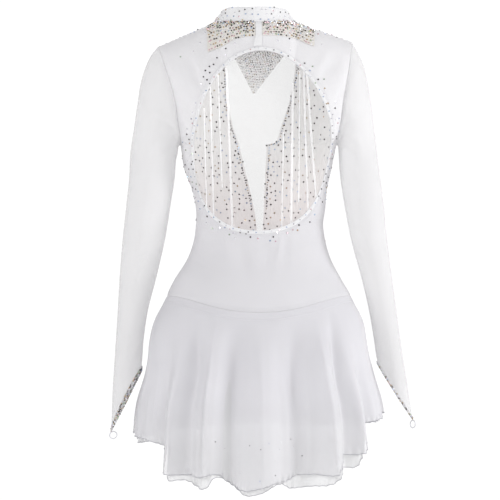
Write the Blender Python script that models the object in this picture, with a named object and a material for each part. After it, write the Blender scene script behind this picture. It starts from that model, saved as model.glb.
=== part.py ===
"""A figure skating dress with an open back, worn and hollow, as thin cloth walls.

Metres, +Z up. The back of the dress faces -Y and its front +Y. The origin is the middle of the neck base,
between the shoulders. Angles turn about +Z from the middle of the back or front towards +X.
"""
import math
from collections import namedtuple

import bmesh
import bpy
import numpy as np

# Walls and seams
BODICE_WALL = 0.0015
CHIFFON_WALL = 0.0012
BEADED_WALL = 0.0020
TRIM_WALL = 0.0012
SEAM_GAP = 0.0003
BEAD_LIFT = 0.0005
QUARTER = math.pi / 2
SHARP_ANGLE = math.radians(50)
DISPLAY_GAMMA = 2.2

# Neck and shoulders
NECK_HALF_WIDTH = 0.074
NECK_DEPTH = {-1: 0.058, 1: 0.068}
NECK_MIDDLE_Z = {-1: 0.0145, 1: -0.028}
NECK_SIDE_Z = 0.015
SHOULDER_SLOPE_LEFT = 0.432
SHOULDER_SLOPE_RIGHT = 0.345
COLLAR_HEIGHT = 0.0257
COLLAR_SIDE_DROP = 0.0052
COLLAR_LEAN = 0.017
COLLAR_DEPTH_LEAN = 0.0133
COLLAR_OUT = 0.0005
COLLAR_CLEARANCE = 0.0008
COLLAR_LIFT = BEAD_LIFT + BEADED_WALL + SEAM_GAP + COLLAR_CLEARANCE
COLLAR_COLUMNS = 36
COLLAR_ROWS = (0, 0.5, 1)

# Body sections
SECTION_POWER = 2 / 2.25
SHOULDER_ROUNDNESS = 0.8
ARMPIT_Z = -0.220
SEAM_SIDE_Z = -0.505
SEAM_DROP = {-1: 0.031, 1: 0.025}
SEAM_CURVE = 4
SOLVE_ROUNDS = 30
SOLVE_STEP = 0.7

TorsoRow = namedtuple("TorsoRow", "z half_width middle back front")
TORSO = [
    TorsoRow(-0.740, 0.1500, -0.001, 0.085, 0.072),
    TorsoRow(-0.660, 0.1720, -0.001, 0.108, 0.082),
    TorsoRow(-0.600, 0.1800, -0.001, 0.119, 0.089),
    TorsoRow(-0.560, 0.1820, -0.001, 0.121, 0.093),
    TorsoRow(-0.513, 0.1780, -0.001, 0.113, 0.095),
    TorsoRow(-0.475, 0.1590, -0.003, 0.098, 0.094),
    TorsoRow(-0.437, 0.1370, -0.001, 0.081, 0.091),
    TorsoRow(-0.399, 0.1245, 0.000, 0.071, 0.088),
    TorsoRow(-0.371, 0.1207, 0.000, 0.068, 0.087),
    TorsoRow(-0.342, 0.1226, 0.002, 0.071, 0.090),
    TorsoRow(-0.304, 0.1280, 0.000, 0.080, 0.098),
    TorsoRow(-0.266, 0.1388, -0.003, 0.090, 0.110),
    TorsoRow(-0.220, 0.1470, -0.002, 0.098, 0.118),
]

# The armhole, from the armpit (lift 0) to the shoulder (lift 1): how far the body reaches across, how far the
# armhole's edge lies off the side plane, and the depths at the middle
ArmholeRow = namedtuple("ArmholeRow", "lift half_width edge middle back front")
ARMHOLE = [
    ArmholeRow(0.00, 0.1470, 0.000, -0.002, 0.098, 0.118),
    ArmholeRow(0.08, 0.1490, 0.027, -0.001, 0.100, 0.118),
    ArmholeRow(0.20, 0.1525, 0.042, 0.000, 0.101, 0.115),
    ArmholeRow(0.38, 0.1575, 0.055, 0.000, 0.101, 0.109),
    ArmholeRow(0.59, 0.1650, 0.063, -0.001, 0.098, 0.099),
    ArmholeRow(0.79, 0.1740, 0.067, -0.004, 0.094, 0.089),
    ArmholeRow(0.94, 0.1805, 0.069, -0.007, 0.090, 0.080),
    ArmholeRow(1.00, 0.1830, 0.070, -0.009, 0.088, 0.076),
]
ARMHOLE_STEPS = (0, 0.05, 0.12, 0.22, 0.345, 0.48, 0.63, 0.78, 0.90, 1)
BELOW_STEPS = (0, 0.15, 0.29, 0.3226, 0.48, 0.64, 0.80)
HEIGHT_STEPS = BELOW_STEPS + tuple(1 + step for step in ARMHOLE_STEPS)

# The open back, an uneven egg through these places of its edge, and the rings of the panel around it
KEYHOLE_X = 0.00475
KEYHOLE_Z = -0.228
KEYHOLE_HALF_WIDTH = 0.1273
KEYHOLE_WAVES = 5
EdgePlace = namedtuple("EdgePlace", "x z")
KEYHOLE_EDGE = [
    EdgePlace(0.0010, -0.0399),
    EdgePlace(-0.0276, -0.0429),
    EdgePlace(-0.0504, -0.0551),
    EdgePlace(-0.0694, -0.0836),
    EdgePlace(-0.0903, -0.1064),
    EdgePlace(-0.1036, -0.1235),
    EdgePlace(-0.1093, -0.1387),
    EdgePlace(-0.1150, -0.1615),
    EdgePlace(-0.1207, -0.1957),
    EdgePlace(-0.1235, -0.2413),
    EdgePlace(-0.1216, -0.2755),
    EdgePlace(-0.1150, -0.3059),
    EdgePlace(-0.0998, -0.3363),
    EdgePlace(-0.0827, -0.3553),
    EdgePlace(-0.0561, -0.3686),
    EdgePlace(-0.0219, -0.3800),
    EdgePlace(0.0048, -0.3819),
    EdgePlace(0.0390, -0.3781),
    EdgePlace(0.0580, -0.3658),
    EdgePlace(0.0922, -0.3401),
    EdgePlace(0.1112, -0.3097),
    EdgePlace(0.1264, -0.2717),
    EdgePlace(0.1311, -0.2413),
    EdgePlace(0.1321, -0.1957),
    EdgePlace(0.1302, -0.1615),
    EdgePlace(0.1226, -0.1311),
    EdgePlace(0.1112, -0.1159),
    EdgePlace(0.0960, -0.0950),
    EdgePlace(0.0770, -0.0779),
    EdgePlace(0.0656, -0.0646),
    EdgePlace(0.0466, -0.0513),
    EdgePlace(0.0314, -0.0418),
]
BINDING_WIDTH = 0.007
RING_PROBE = 0.02
BOTTOM_COLUMNS = 24
RING_SHARES = (0.30, 0.56, 0.80, 1.0)

# Columns across the top of the back, from the middle of the neck, and the placket and yoke tabs between them
TAB_LEFT_END = -0.0885
PLACKET_LEFT = 0.0020
PLACKET_RIGHT = 0.0138
TAB_RIGHT_END = 0.1126
TOP_STATIONS = (
    -0.183, -0.160, -0.136, -0.112, TAB_LEFT_END, -NECK_HALF_WIDTH, -0.056, -0.035, -0.015, PLACKET_LEFT,
    PLACKET_RIGHT, 0.034, 0.056, NECK_HALF_WIDTH, 0.095, TAB_RIGHT_END, 0.136, 0.160, 0.183,
)
HOLE_SQUEEZE = 0.177
YOKE_LOW_RING = 3
TAB_CORNER_CUT = 0.75
YokeRow = namedtuple("YokeRow", "station z")
YOKE_LINE = [
    YokeRow(TAB_LEFT_END, -0.0437),
    YokeRow(-0.0566, -0.0304),
    YokeRow(-0.0414, -0.0209),
    YokeRow(-0.0190, -0.0150),
    YokeRow(0.0080, -0.0125),
    YokeRow(0.0340, -0.0123),
    YokeRow(0.0669, -0.0155),
    YokeRow(0.0859, -0.0212),
    YokeRow(0.0973, -0.0270),
    YokeRow(TAB_RIGHT_END, -0.0323),
]

# The front: edges of the see-through insert, and the pleats of the panels beside it
InsertRow = namedtuple("InsertRow", "z left right")
INSERT = [
    InsertRow(-0.430, -0.0030, 0.0030),
    InsertRow(-0.380, -0.0050, 0.0062),
    InsertRow(-0.348, -0.0086, 0.0080),
    InsertRow(-0.300, -0.0190, 0.0100),
    InsertRow(-0.253, -0.0310, 0.0120),
    InsertRow(-0.219, -0.0385, 0.0140),
    InsertRow(-0.213, -0.0402, 0.0190),
    InsertRow(-0.207, -0.0420, 0.0320),
    InsertRow(-0.200, -0.0445, 0.0362),
    InsertRow(-0.180, -0.0515, 0.0420),
    InsertRow(-0.133, -0.0617, 0.0580),
    InsertRow(-0.090, -0.0625, 0.0660),
    InsertRow(-0.060, -0.0650, 0.0690),
    InsertRow(-0.030, -0.0750, 0.0690),
    InsertRow(0.012, -0.0870, 0.0690),
]
INSERT_FOOT_ROW = 3
BIB_POINT_ROW = 11
BIB_POINT_X = -0.0105
BIB_POINT_Z = -0.1205
BIB_POINT_HALF = 0.002
BIB_SLOPE_LEFT = 0.52
BIB_SLOPE_RIGHT = 0.77
BIB_MARGIN = 0.004
BIB_COLUMNS = 6
FRONT_COLUMNS = 24
PLEATS = 6
PLEAT_HEIGHT = 0.0032
PLEAT_START_UP = 0.36
PLEAT_RISE = 0.5
PLEAT_TOP_FADE = 0.2
PLEAT_INNER_MARGIN = 0.06
PLEAT_ARMHOLE_MARGIN = 0.16

# Sleeves. Rows run from the armhole down: the outer line, the line along the body, the depth and the place front
# to back, and how much of the armhole's own shape is left
SleeveRow = namedtuple(
    "SleeveRow", "left_outer right_outer outer_z left_inner right_inner inner_z half_depth y shape_left"
)
SLEEVE = [
    SleeveRow(0.2045, 0.1885, -0.046, 0.1518, 0.1475, -0.2192, 0.057, 0.000, 0.60),
    SleeveRow(0.2155, 0.1980, -0.068, 0.1535, 0.1490, -0.2205, 0.056, 0.000, 0.30),
    SleeveRow(0.2255, 0.2060, -0.100, 0.1545, 0.1495, -0.2235, 0.054, 0.000, 0.10),
    SleeveRow(0.2320, 0.2130, -0.140, 0.1550, 0.1500, -0.2285, 0.051, 0.000, 0.0),
    SleeveRow(0.2385, 0.2185, -0.185, 0.1560, 0.1505, -0.2360, 0.048, -0.002, 0.0),
    SleeveRow(0.2455, 0.2240, -0.232, 0.1585, 0.1510, -0.2480, 0.045, -0.003, 0.0),
    SleeveRow(0.2475, 0.2295, -0.275, 0.1610, 0.1535, -0.2800, 0.042, -0.004, 0.0),
    SleeveRow(0.2530, 0.2365, -0.330, 0.1685, 0.1610, -0.3300, 0.040, -0.006, 0.0),
    SleeveRow(0.2605, 0.2435, -0.400, 0.1800, 0.1745, -0.4000, 0.039, -0.005, 0.0),
    SleeveRow(0.2660, 0.2525, -0.470, 0.1955, 0.1930, -0.4680, 0.034, 0.000, 0.0),
    SleeveRow(0.2705, 0.2625, -0.545, 0.2125, 0.2085, -0.5350, 0.030, 0.008, 0.0),
    SleeveRow(0.2750, 0.2720, -0.615, 0.2200, 0.2170, -0.5850, 0.027, 0.016, 0.0),
    SleeveRow(0.2795, 0.2835, -0.685, 0.2225, 0.2215, -0.6160, 0.026, 0.022, 0.0),
]
CuffEdge = namedtuple("CuffEdge", "outer outer_z inner inner_z half_depth y bulge")
CUFF_EDGE = {
    -1: CuffEdge(0.2820, -0.764, 0.2245, -0.648, 0.026, 0.026, 0.002),
    1: CuffEdge(0.2910, -0.741, 0.2245, -0.634, 0.026, 0.026, 0.003),
}
SLEEVE_CLEARANCE = 0.0004
# How wide a cuff's band is at its two ends, and how much wider on its slanted sides
BAND_WIDTH = {-1: 0.010, 1: 0.0055}
BAND_SLANT = {-1: 0.011, 1: 0.0015}
LOOP_RADIUS = 0.0070
LOOP_CORD_RADIUS = 0.0010
LOOP_CLEARANCE = 0.00035
LOOP_SIDES = 20
LOOP_CORD_SIDES = 8
# The line through each finger loop's hole, and the way it hangs from the cuff's point
LOOP_AXIS = {-1: (0.15, -0.95, -0.27), 1: (-0.74, -0.67, 0.0)}
LOOP_LEAN = {-1: (0.67, 0.32, -0.75), 1: (-0.10, 0.11, -1.0)}

# Skirt: its outline, its hem all round and its folds. Angles are in degrees from the middle of the back towards
# +X, and beyond 90 they lie on the front
SkirtRow = namedtuple("SkirtRow", "z half_width middle back front")
SKIRT = [
    SkirtRow(-0.900, 0.2430, 0.000, 0.196, 0.168),
    SkirtRow(-0.770, 0.2400, 0.000, 0.182, 0.156),
    SkirtRow(-0.703, 0.2350, -0.001, 0.170, 0.144),
    SkirtRow(-0.665, 0.2270, -0.001, 0.161, 0.135),
    SkirtRow(-0.627, 0.2205, -0.001, 0.150, 0.125),
    SkirtRow(-0.590, 0.2140, -0.002, 0.139, 0.114),
    SkirtRow(-0.550, 0.2020, -0.001, 0.126, 0.103),
    SkirtRow(-0.513, 0.1815, -0.001, 0.113, 0.095),
    SkirtRow(-0.480, 0.1700, -0.001, 0.102, 0.092),
]
HemRow = namedtuple("HemRow", "angle z")
HEM = [
    HemRow(-180, -0.735),
    HemRow(-150, -0.742),
    HemRow(-115, -0.758),
    HemRow(-90, -0.769),
    HemRow(-72, -0.773),
    HemRow(-60, -0.782),
    HemRow(-52, -0.789),
    HemRow(-48, -0.798),
    HemRow(-42, -0.841),
    HemRow(-40, -0.8425),
    HemRow(-33, -0.8425),
    HemRow(-24, -0.848),
    HemRow(-16, -0.843),
    HemRow(-12, -0.857),
    HemRow(-6, -0.873),
    HemRow(0, -0.869),
    HemRow(6, -0.858),
    HemRow(10, -0.855),
    HemRow(15, -0.845),
    HemRow(24, -0.841),
    HemRow(33, -0.840),
    HemRow(39, -0.806),
    HemRow(41, -0.8045),
    HemRow(48, -0.804),
    HemRow(51, -0.799),
    HemRow(54, -0.779),
    HemRow(60, -0.749),
    HemRow(66, -0.743),
    HemRow(74, -0.7395),
    HemRow(90, -0.727),
    HemRow(115, -0.732),
    HemRow(150, -0.738),
    HemRow(180, -0.735),
]
# How far the under layer hangs below the upper one
PeekRow = namedtuple("PeekRow", "angle longer")
PEEK = [
    PeekRow(-180, 0.012),
    PeekRow(-90, 0.011),
    PeekRow(-74, 0.010),
    PeekRow(-66, 0.003),
    PeekRow(-50, 0.003),
    PeekRow(-43, 0.012),
    PeekRow(-33, 0.012),
    PeekRow(-30, 0.020),
    PeekRow(-23, 0.021),
    PeekRow(-21, 0.020),
    PeekRow(-18, 0.008),
    PeekRow(-12, 0.002),
    PeekRow(-6, 0.008),
    PeekRow(0, 0.0095),
    PeekRow(6, 0.0035),
    PeekRow(9, 0.004),
    PeekRow(14, 0.021),
    PeekRow(16, 0.023),
    PeekRow(24, 0.023),
    PeekRow(33, 0.017),
    PeekRow(40, 0.023),
    PeekRow(46, 0.024),
    PeekRow(48, 0.024),
    PeekRow(52, 0.004),
    PeekRow(54, 0.003),
    PeekRow(66, 0.003),
    PeekRow(90, 0.006),
    PeekRow(120, 0.012),
    PeekRow(180, 0.012),
]
FoldRow = namedtuple("FoldRow", "angle half_width height start")
FOLDS = [
    FoldRow(-160, 10, 0.020, 0.10),
    FoldRow(-132, 10, 0.022, 0.06),
    FoldRow(-104, 9, 0.016, 0.30),
    FoldRow(-76, 7, 0.010, 0.35),
    FoldRow(-50, 6, -0.012, 0.20),
    FoldRow(-41, 7, 0.027, 0.10),
    FoldRow(-20, 7, 0.026, 0.04),
    FoldRow(2, 7, 0.024, 0.06),
    FoldRow(33, 7, 0.026, 0.04),
    FoldRow(51, 6, 0.020, 0.15),
    FoldRow(60, 5, -0.010, 0.25),
    FoldRow(77, 8, 0.010, 0.35),
    FoldRow(104, 9, 0.016, 0.30),
    FoldRow(131, 10, 0.022, 0.06),
    FoldRow(157, 10, 0.020, 0.10),
    FoldRow(180, 8, 0.018, 0.12),
]
HollowRow = namedtuple("HollowRow", "angle half_width depth middle spread")
HOLLOWS = [
    HollowRow(-146, 9, 0.007, 0.40, 0.26),
    HollowRow(-118, 8, 0.007, 0.38, 0.26),
    HollowRow(-31, 5, 0.009, 0.36, 0.24),
    HollowRow(-9, 7, 0.012, 0.34, 0.24),
    HollowRow(17, 9, 0.012, 0.33, 0.24),
    HollowRow(42, 5, 0.009, 0.34, 0.22),
    HollowRow(118, 8, 0.007, 0.38, 0.26),
    HollowRow(144, 9, 0.007, 0.40, 0.26),
    HollowRow(168, 7, 0.006, 0.42, 0.26),
]
HOLLOW_START = 0.12
FOLD_SINK = 0.0075
FOLD_SINK_SHARE = 0.6
FOLD_SPREAD = 0.8
LAYER_PART_SHARE = 0.5
SKIRT_COLUMNS = 48
SKIRT_STEPS = (0, 0.12, 0.30, 0.53, 0.77, 1)
Layer = namedtuple("Layer", "top_out hem_in peek")
UPPER = Layer(top_out=0.0003, hem_in=0.0, peek=0)
UNDER = Layer(top_out=-0.0012, hem_in=0.007, peek=1)
BRIEFS_OUT = -0.0027

# Briefs: their lower edge from the side seam to the crotch
LegRow = namedtuple("LegRow", "share x z")
LEG_LINE = [
    LegRow(0.00, 0.000, -0.7370),
    LegRow(0.20, 0.030, -0.7355),
    LegRow(0.32, 0.040, -0.7260),
    LegRow(0.55, 0.082, -0.6780),
    LegRow(0.80, 0.140, -0.6250),
    LegRow(1.00, 0.180, -0.5980),
]
CROTCH_Z = -0.7372
CROTCH_TURN_Z = -0.650
BRIEFS_COLUMNS = 24
BRIEFS_STEPS = (0, 0.2, 0.4, 0.6, 0.78, 0.9, 1)

# Colours (sRGB) and surface
Finish = namedtuple("Finish", "red green blue roughness metallic")
WHITE_CLOTH = Finish(0.90, 0.90, 0.92, 0.75, 0.0)
NUDE_CLOTH = Finish(0.86, 0.82, 0.81, 0.80, 0.0)
SHEER_MESH = Finish(0.94, 0.94, 0.94, 0.70, 0.0)
CHIFFON = Finish(0.87, 0.87, 0.89, 0.70, 0.0)
BEADS = Finish(0.78, 0.75, 0.72, 0.25, 0.3)


def finish(name, values):
    """A material of one colour."""
    material = bpy.data.materials.get(name)
    if material is None:
        material = bpy.data.materials.new(name)
        material.use_nodes = True
        shader = material.node_tree.nodes["Principled BSDF"]
        linear = [part ** DISPLAY_GAMMA for part in values[:3]]
        shader.inputs["Base Color"].default_value = (*linear, 1)
        shader.inputs["Roughness"].default_value = values.roughness
        shader.inputs["Metallic"].default_value = values.metallic
    return material


def along(table, at, column):
    """A column of a table of rows, read on a smooth curve over the table's first column."""
    rows = sorted(table)
    keys = np.array([row[0] for row in rows], dtype=float)
    values = np.array([getattr(row, column) for row in rows], dtype=float)
    slopes = np.gradient(values, keys)
    at = np.clip(at, keys[0], keys[-1])
    low = np.clip(np.searchsorted(keys, at) - 1, 0, len(keys) - 2)
    step = keys[low + 1] - keys[low]
    share = (at - keys[low]) / step
    rest = 1 - share
    start = (1 + 2 * share) * rest**2 * values[low] + share * rest**2 * step * slopes[low]
    end = share**2 * (3 - 2 * share) * values[low + 1] - share**2 * rest * step * slopes[low + 1]
    return start + end


def ease(share):
    """A smooth rise from 0 to 1."""
    share = np.clip(share, 0, 1)
    return share * share * (3 - 2 * share)


def section(turn):
    """The rounded outline of a body section: parts across and front to back."""
    across = np.sign(turn) * np.abs(np.sin(turn)) ** SECTION_POWER
    deep = np.abs(np.cos(turn)) ** SECTION_POWER
    return across, deep


def turn_at(across):
    """The angle at which a section reaches a part of its half width."""
    reach = np.clip(np.abs(across), 0, 1) ** (1 / SECTION_POWER)
    return np.sign(across) * np.arcsin(reach)


def seam_z(side, turn):
    """Height of the dropped waist seam."""
    return SEAM_SIDE_Z - SEAM_DROP[side] * np.cos(turn) ** SEAM_CURVE


def top_line(side, turn):
    """The neckline and the shoulder seam: across, front to back and height."""
    x = ARMHOLE[-1].half_width * section(turn)[0]
    in_neck = np.clip(np.abs(x) / NECK_HALF_WIDTH, 0, 1)
    deep = NECK_DEPTH[side] * np.sqrt(1 - in_neck**2)
    neck_z = NECK_MIDDLE_Z[side] + (NECK_SIDE_Z - NECK_MIDDLE_Z[side]) * in_neck**2
    slope = np.where(x < 0, SHOULDER_SLOPE_LEFT, SHOULDER_SLOPE_RIGHT)
    shoulder_drop = slope * np.maximum(np.abs(x) - NECK_HALF_WIDTH, 0)
    return x, deep, neck_z - shoulder_drop


def shoulder_curve(height):
    """How far up the shoulder a level lies, and how upright the cloth still is there."""
    rise = np.clip(height - 1, 0, 1) * QUARTER
    return np.sin(rise), np.clip(np.cos(rise), 0, 1) ** SHOULDER_ROUNDNESS


def body(side, turn, height, out=0.0):
    """A point of the bodice. Height runs from 0 at the waist seam to 1 at the armpit and 2 at the shoulder."""
    turn, height, out = np.broadcast_arrays(np.asarray(turn, float), np.asarray(height, float), out)
    across, deep = section(turn)
    lift, tuck = shoulder_curve(height)
    seam = seam_z(side, turn)
    top_y, top_z = top_line(side, turn)[1:]
    below_z = seam + (ARMPIT_Z - seam) * np.minimum(height, 1)
    z = np.where(height <= 1, below_z, ARMPIT_Z + (top_z - ARMPIT_Z) * lift)
    depth_name = "back" if side < 0 else "front"
    below = height <= 1
    half_width = np.where(below, along(TORSO, z, "half_width"), along(ARMHOLE, lift, "half_width"))
    middle = np.where(below, along(TORSO, z, "middle"), along(ARMHOLE, lift, "middle"))
    depth = np.where(below, along(TORSO, z, depth_name), along(ARMHOLE, lift, depth_name))
    edge = np.where(below, 0.0, along(ARMHOLE, lift, "edge"))
    x = middle + (half_width + out * tuck) * across
    y = SEAM_GAP / 2 + tuck * (edge + (depth + out - edge) * deep) + (1 - tuck) * top_y
    return np.stack([x, side * y, z + out * np.sqrt(1 - tuck**2)], axis=-1)


def find_on_body(side, x, z):
    """The turn and height at which the bodice passes a place seen from the back or front."""
    turn = np.zeros_like(x)
    height = np.ones_like(x)
    for _ in range(SOLVE_ROUNDS):
        seam = seam_z(side, turn)
        top_z = top_line(side, turn)[2]
        lift = np.clip((z - ARMPIT_Z) / (top_z - ARMPIT_Z), 0, 1)
        below = np.clip((z - seam) / (ARMPIT_Z - seam), 0, 1)
        height = np.where(z <= ARMPIT_Z, below, 1 + np.arcsin(lift) / QUARTER)
        turn = turn + SOLVE_STEP * (turn_for(x, z, height) - turn)
    return turn, height


def turn_for(x, z, height):
    """The turn at which a level of the bodice reaches a distance across."""
    lift = shoulder_curve(height)[0]
    below = height <= 1
    half_width = np.where(below, along(TORSO, z, "half_width"), along(ARMHOLE, lift, "half_width"))
    middle = np.where(below, along(TORSO, z, "middle"), along(ARMHOLE, lift, "middle"))
    return turn_at((x - middle) / half_width)


def shift_towards(points, targets, distance):
    """Points moved a distance straight towards their targets."""
    way = targets - points
    length = np.linalg.norm(way, axis=-1, keepdims=True)
    return points + way / length * np.asarray(distance)[..., None]


def wall(name, outside, inside, material, around=False, mirrored=False):
    """A closed cloth wall between two equal grids of points, rows by columns.

    Mirrored walls cut their four-sided faces along the other diagonal on the +X side.
    """
    rows, columns = outside.shape[:2]
    count = rows * columns
    index = np.arange(count).reshape(rows, columns)
    loops = columns if around else columns - 1
    faces = []

    def strip(a, b, c, d):
        faces.append((a, b, c))
        faces.append((a, c, d))

    for row in range(rows - 1):
        for column in range(loops):
            after = (column + 1) % columns
            a, b = index[row, column], index[row, after]
            d, c = index[row + 1, column], index[row + 1, after]
            if mirrored and outside[row : row + 2, [column, after], 0].sum() > 0:
                a, b, c, d = b, c, d, a
            strip(a, b, c, d)
            faces.append((a + count, c + count, b + count))
            faces.append((a + count, d + count, c + count))
    for column in range(loops):
        after = (column + 1) % columns
        for row, turned in ((0, True), (rows - 1, False)):
            a, b = index[row, column], index[row, after]
            if turned:
                a, b = b, a
            strip(a, b, b + count, a + count)
    if not around:
        for row in range(rows - 1):
            for column, turned in ((0, False), (columns - 1, True)):
                a, b = index[row, column], index[row + 1, column]
                if turned:
                    a, b = b, a
                strip(a, b, b + count, a + count)
    points = np.concatenate([outside.reshape(-1, 3), inside.reshape(-1, 3)])
    return add_mesh(name, points, faces, material)


def add_mesh(name, points, faces, material):
    """An object from points and faces, with its faces turned out and its round parts smooth."""
    mesh = bpy.data.meshes.new(name)
    mesh.from_pydata([tuple(map(float, point)) for point in points], [], [tuple(map(int, face)) for face in faces])
    work = bmesh.new()
    work.from_mesh(mesh)
    bmesh.ops.recalc_face_normals(work, faces=work.faces)
    work.to_mesh(mesh)
    work.free()
    mesh.shade_smooth()
    mesh.set_sharp_from_angle(angle=SHARP_ANGLE)
    mesh.materials.append(material)
    made = bpy.data.objects.new(name, mesh)
    bpy.context.scene.collection.objects.link(made)
    return made


def keyhole_reach(angles):
    """How far the edge of the open back is from its middle: a smooth closed line near its measured places."""
    places = np.array(KEYHOLE_EDGE) - (KEYHOLE_X, KEYHOLE_Z)

    def waves(at):
        parts = [np.ones_like(at)]
        for number in range(1, KEYHOLE_WAVES + 1):
            parts.extend([np.cos(number * at), np.sin(number * at)])
        return np.stack(parts, axis=-1)

    at = np.arctan2(places[:, 1], places[:, 0])
    shares = np.linalg.lstsq(waves(at), np.hypot(places[:, 0], places[:, 1]), rcond=None)[0]
    return waves(np.asarray(angles, float)) @ shares


def keyhole_outline(angles):
    """The edge of the open back, seen from behind."""
    reach = keyhole_reach(angles)
    return KEYHOLE_X + reach * np.cos(angles), KEYHOLE_Z + reach * np.sin(angles)


def back_rings():
    """Turn and height of the back panel's points, in rings from the open back out to the panel's edge."""
    stations = np.array(TOP_STATIONS[::-1])
    middle = ARMHOLE[-1].middle
    top_turns = turn_at(stations / ARMHOLE[-1].half_width)
    bottom_turns = np.linspace(-QUARTER, QUARTER, BOTTOM_COLUMNS + 1)
    side_heights = np.array(HEIGHT_STEPS[1:-1])
    bottom, side, top = len(bottom_turns), len(side_heights), len(stations)
    edge_turn = np.concatenate([bottom_turns, np.full(side, QUARTER), top_turns, np.full(side, -QUARTER)])
    edge_height = np.concatenate([np.zeros(bottom), side_heights, np.full(top, 2.0), side_heights[::-1]])
    corner = QUARTER / 2
    from_hole = stations + middle - KEYHOLE_X
    on_hole = from_hole / (1 + np.abs(from_hole) / HOLE_SQUEEZE)
    angles = np.concatenate(
        [
            np.linspace(-3, -1, bottom) * corner,
            np.linspace(-1, 1, side + 2)[1:-1] * corner,
            np.arccos(on_hole / KEYHOLE_HALF_WIDTH),
            np.linspace(3, 5, side + 2)[1:-1] * corner,
        ]
    )
    hole_turn, hole_height = find_on_body(-1, *keyhole_outline(angles))
    to_edge_turn, to_edge_height = edge_turn - hole_turn, edge_height - hole_height
    start = body(-1, hole_turn, hole_height)
    near = body(-1, hole_turn + RING_PROBE * to_edge_turn, hole_height + RING_PROBE * to_edge_height)
    share = RING_PROBE * BINDING_WIDTH / np.linalg.norm(near - start, axis=-1)
    shares = np.stack([np.zeros_like(share), share] + [np.full_like(share, part) for part in RING_SHARES])
    turn = hole_turn + shares * to_edge_turn
    height = hole_height + shares * to_edge_height

    yoke = find_on_body(-1, stations + middle, along(YOKE_LINE, stations, "z"))
    tab_end = np.where(stations < 0, -TAB_LEFT_END, TAB_RIGHT_END)
    follow = 1 - ease((np.abs(stations) - tab_end) / (ARMHOLE[-1].half_width - tab_end))
    on_tab = np.clip(np.arange(top), TOP_STATIONS[::-1].index(TAB_RIGHT_END), TOP_STATIONS[::-1].index(TAB_LEFT_END))
    top_first = bottom + side
    columns = slice(top_first, top_first + top)
    for grid, line in zip((turn, height), yoke):
        low, high = grid[1, columns].copy(), grid[-1, columns].copy()
        targets = ((low + line) / 2, line, (line + high) / 2)
        for ring, target in enumerate(targets, YOKE_LOW_RING - 1):
            shift = target - grid[ring, columns]
            grid[ring, columns] += follow * shift[on_tab]
    return turn, height, top_first


def tab_rise(stations):
    """How much of a yoke tab's top row is left, which falls off towards the tabs' outer corners."""
    tab_end = np.where(stations < 0, -TAB_LEFT_END, TAB_RIGHT_END)
    share = np.clip((np.abs(stations) - NECK_HALF_WIDTH) / (tab_end - NECK_HALF_WIDTH), 0, 1)
    return 1 - TAB_CORNER_CUT * share**3


def back_pieces(materials):
    """The back bodice, and the binding, placket and yoke tabs that lie on it."""
    turn, height, top_first = back_rings()

    def grid(out):
        return body(-1, turn, height, out)

    def column(station):
        return top_first + TOP_STATIONS[::-1].index(station)

    wall("back_bodice", grid(0.0), grid(-BODICE_WALL), materials["white"], True, True)

    binding = slice(0, 2)
    high, low = grid(SEAM_GAP + TRIM_WALL)[binding], grid(SEAM_GAP)[binding]
    wall("keyhole_binding", high, low, materials["beads"], True, True)

    placket = []
    for out in (BEAD_LIFT + TRIM_WALL, BEAD_LIFT):
        strip = grid(out)[1:, column(PLACKET_RIGHT) : column(PLACKET_LEFT) + 1]
        strip[0] = shift_towards(strip[0], strip[1], np.full(strip.shape[1], 2 * SEAM_GAP))
        placket.append(strip)
    wall("back_placket", placket[0], placket[1], materials["white"], False, True)

    tabs = (
        ("yoke_tab_right", column(TAB_RIGHT_END), column(PLACKET_RIGHT), -1, -2),
        ("yoke_tab_left", column(PLACKET_LEFT), column(TAB_LEFT_END), 0, 1),
    )
    rise = tab_rise(np.array(TOP_STATIONS[::-1]))[:, None]
    for name, first, last, inner, beside in tabs:
        on_top = slice(first - top_first, last + 1 - top_first)
        tab = []
        for out in (BEAD_LIFT + BEADED_WALL, BEAD_LIFT):
            part = grid(out)[YOKE_LOW_RING:, first : last + 1]
            part[-1] = part[-2] + (part[-1] - part[-2]) * rise[on_top]
            part[:, inner] = shift_towards(part[:, inner], part[:, beside], np.full(len(part), 2 * SEAM_GAP))
            tab.append(part)
        wall(name, tab[0], tab[1], materials["beads"], False, True)


def insert_edges(heights):
    """Turns of the see-through insert's left and right edges at each level of the front."""
    edges = []
    for name, sign in (("left", -1), ("right", 1)):
        neck_turn = turn_at(sign * NECK_HALF_WIDTH / ARMHOLE[-1].half_width)
        turn = np.full(len(heights), neck_turn / 2)
        for _ in range(SOLVE_ROUNDS):
            z = body(1, turn, heights)[:, 2]
            turn = turn + SOLVE_STEP * (turn_for(along(INSERT, z, name), z, heights) - turn)
        turn[-1] = neck_turn
        edges.append(turn)
    return edges


def pleat_height(share, height):
    """How far a front panel's pleats stand out, across the panel and up it."""
    inset = ease(share / PLEAT_INNER_MARGIN) * ease((1 - share) / PLEAT_ARMHOLE_MARGIN)
    length = ease((height - PLEAT_START_UP) / PLEAT_RISE) * ease((2 - height) / PLEAT_TOP_FADE)
    return PLEAT_HEIGHT * inset * length * np.sin(math.pi * PLEATS * share) ** 2


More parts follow.
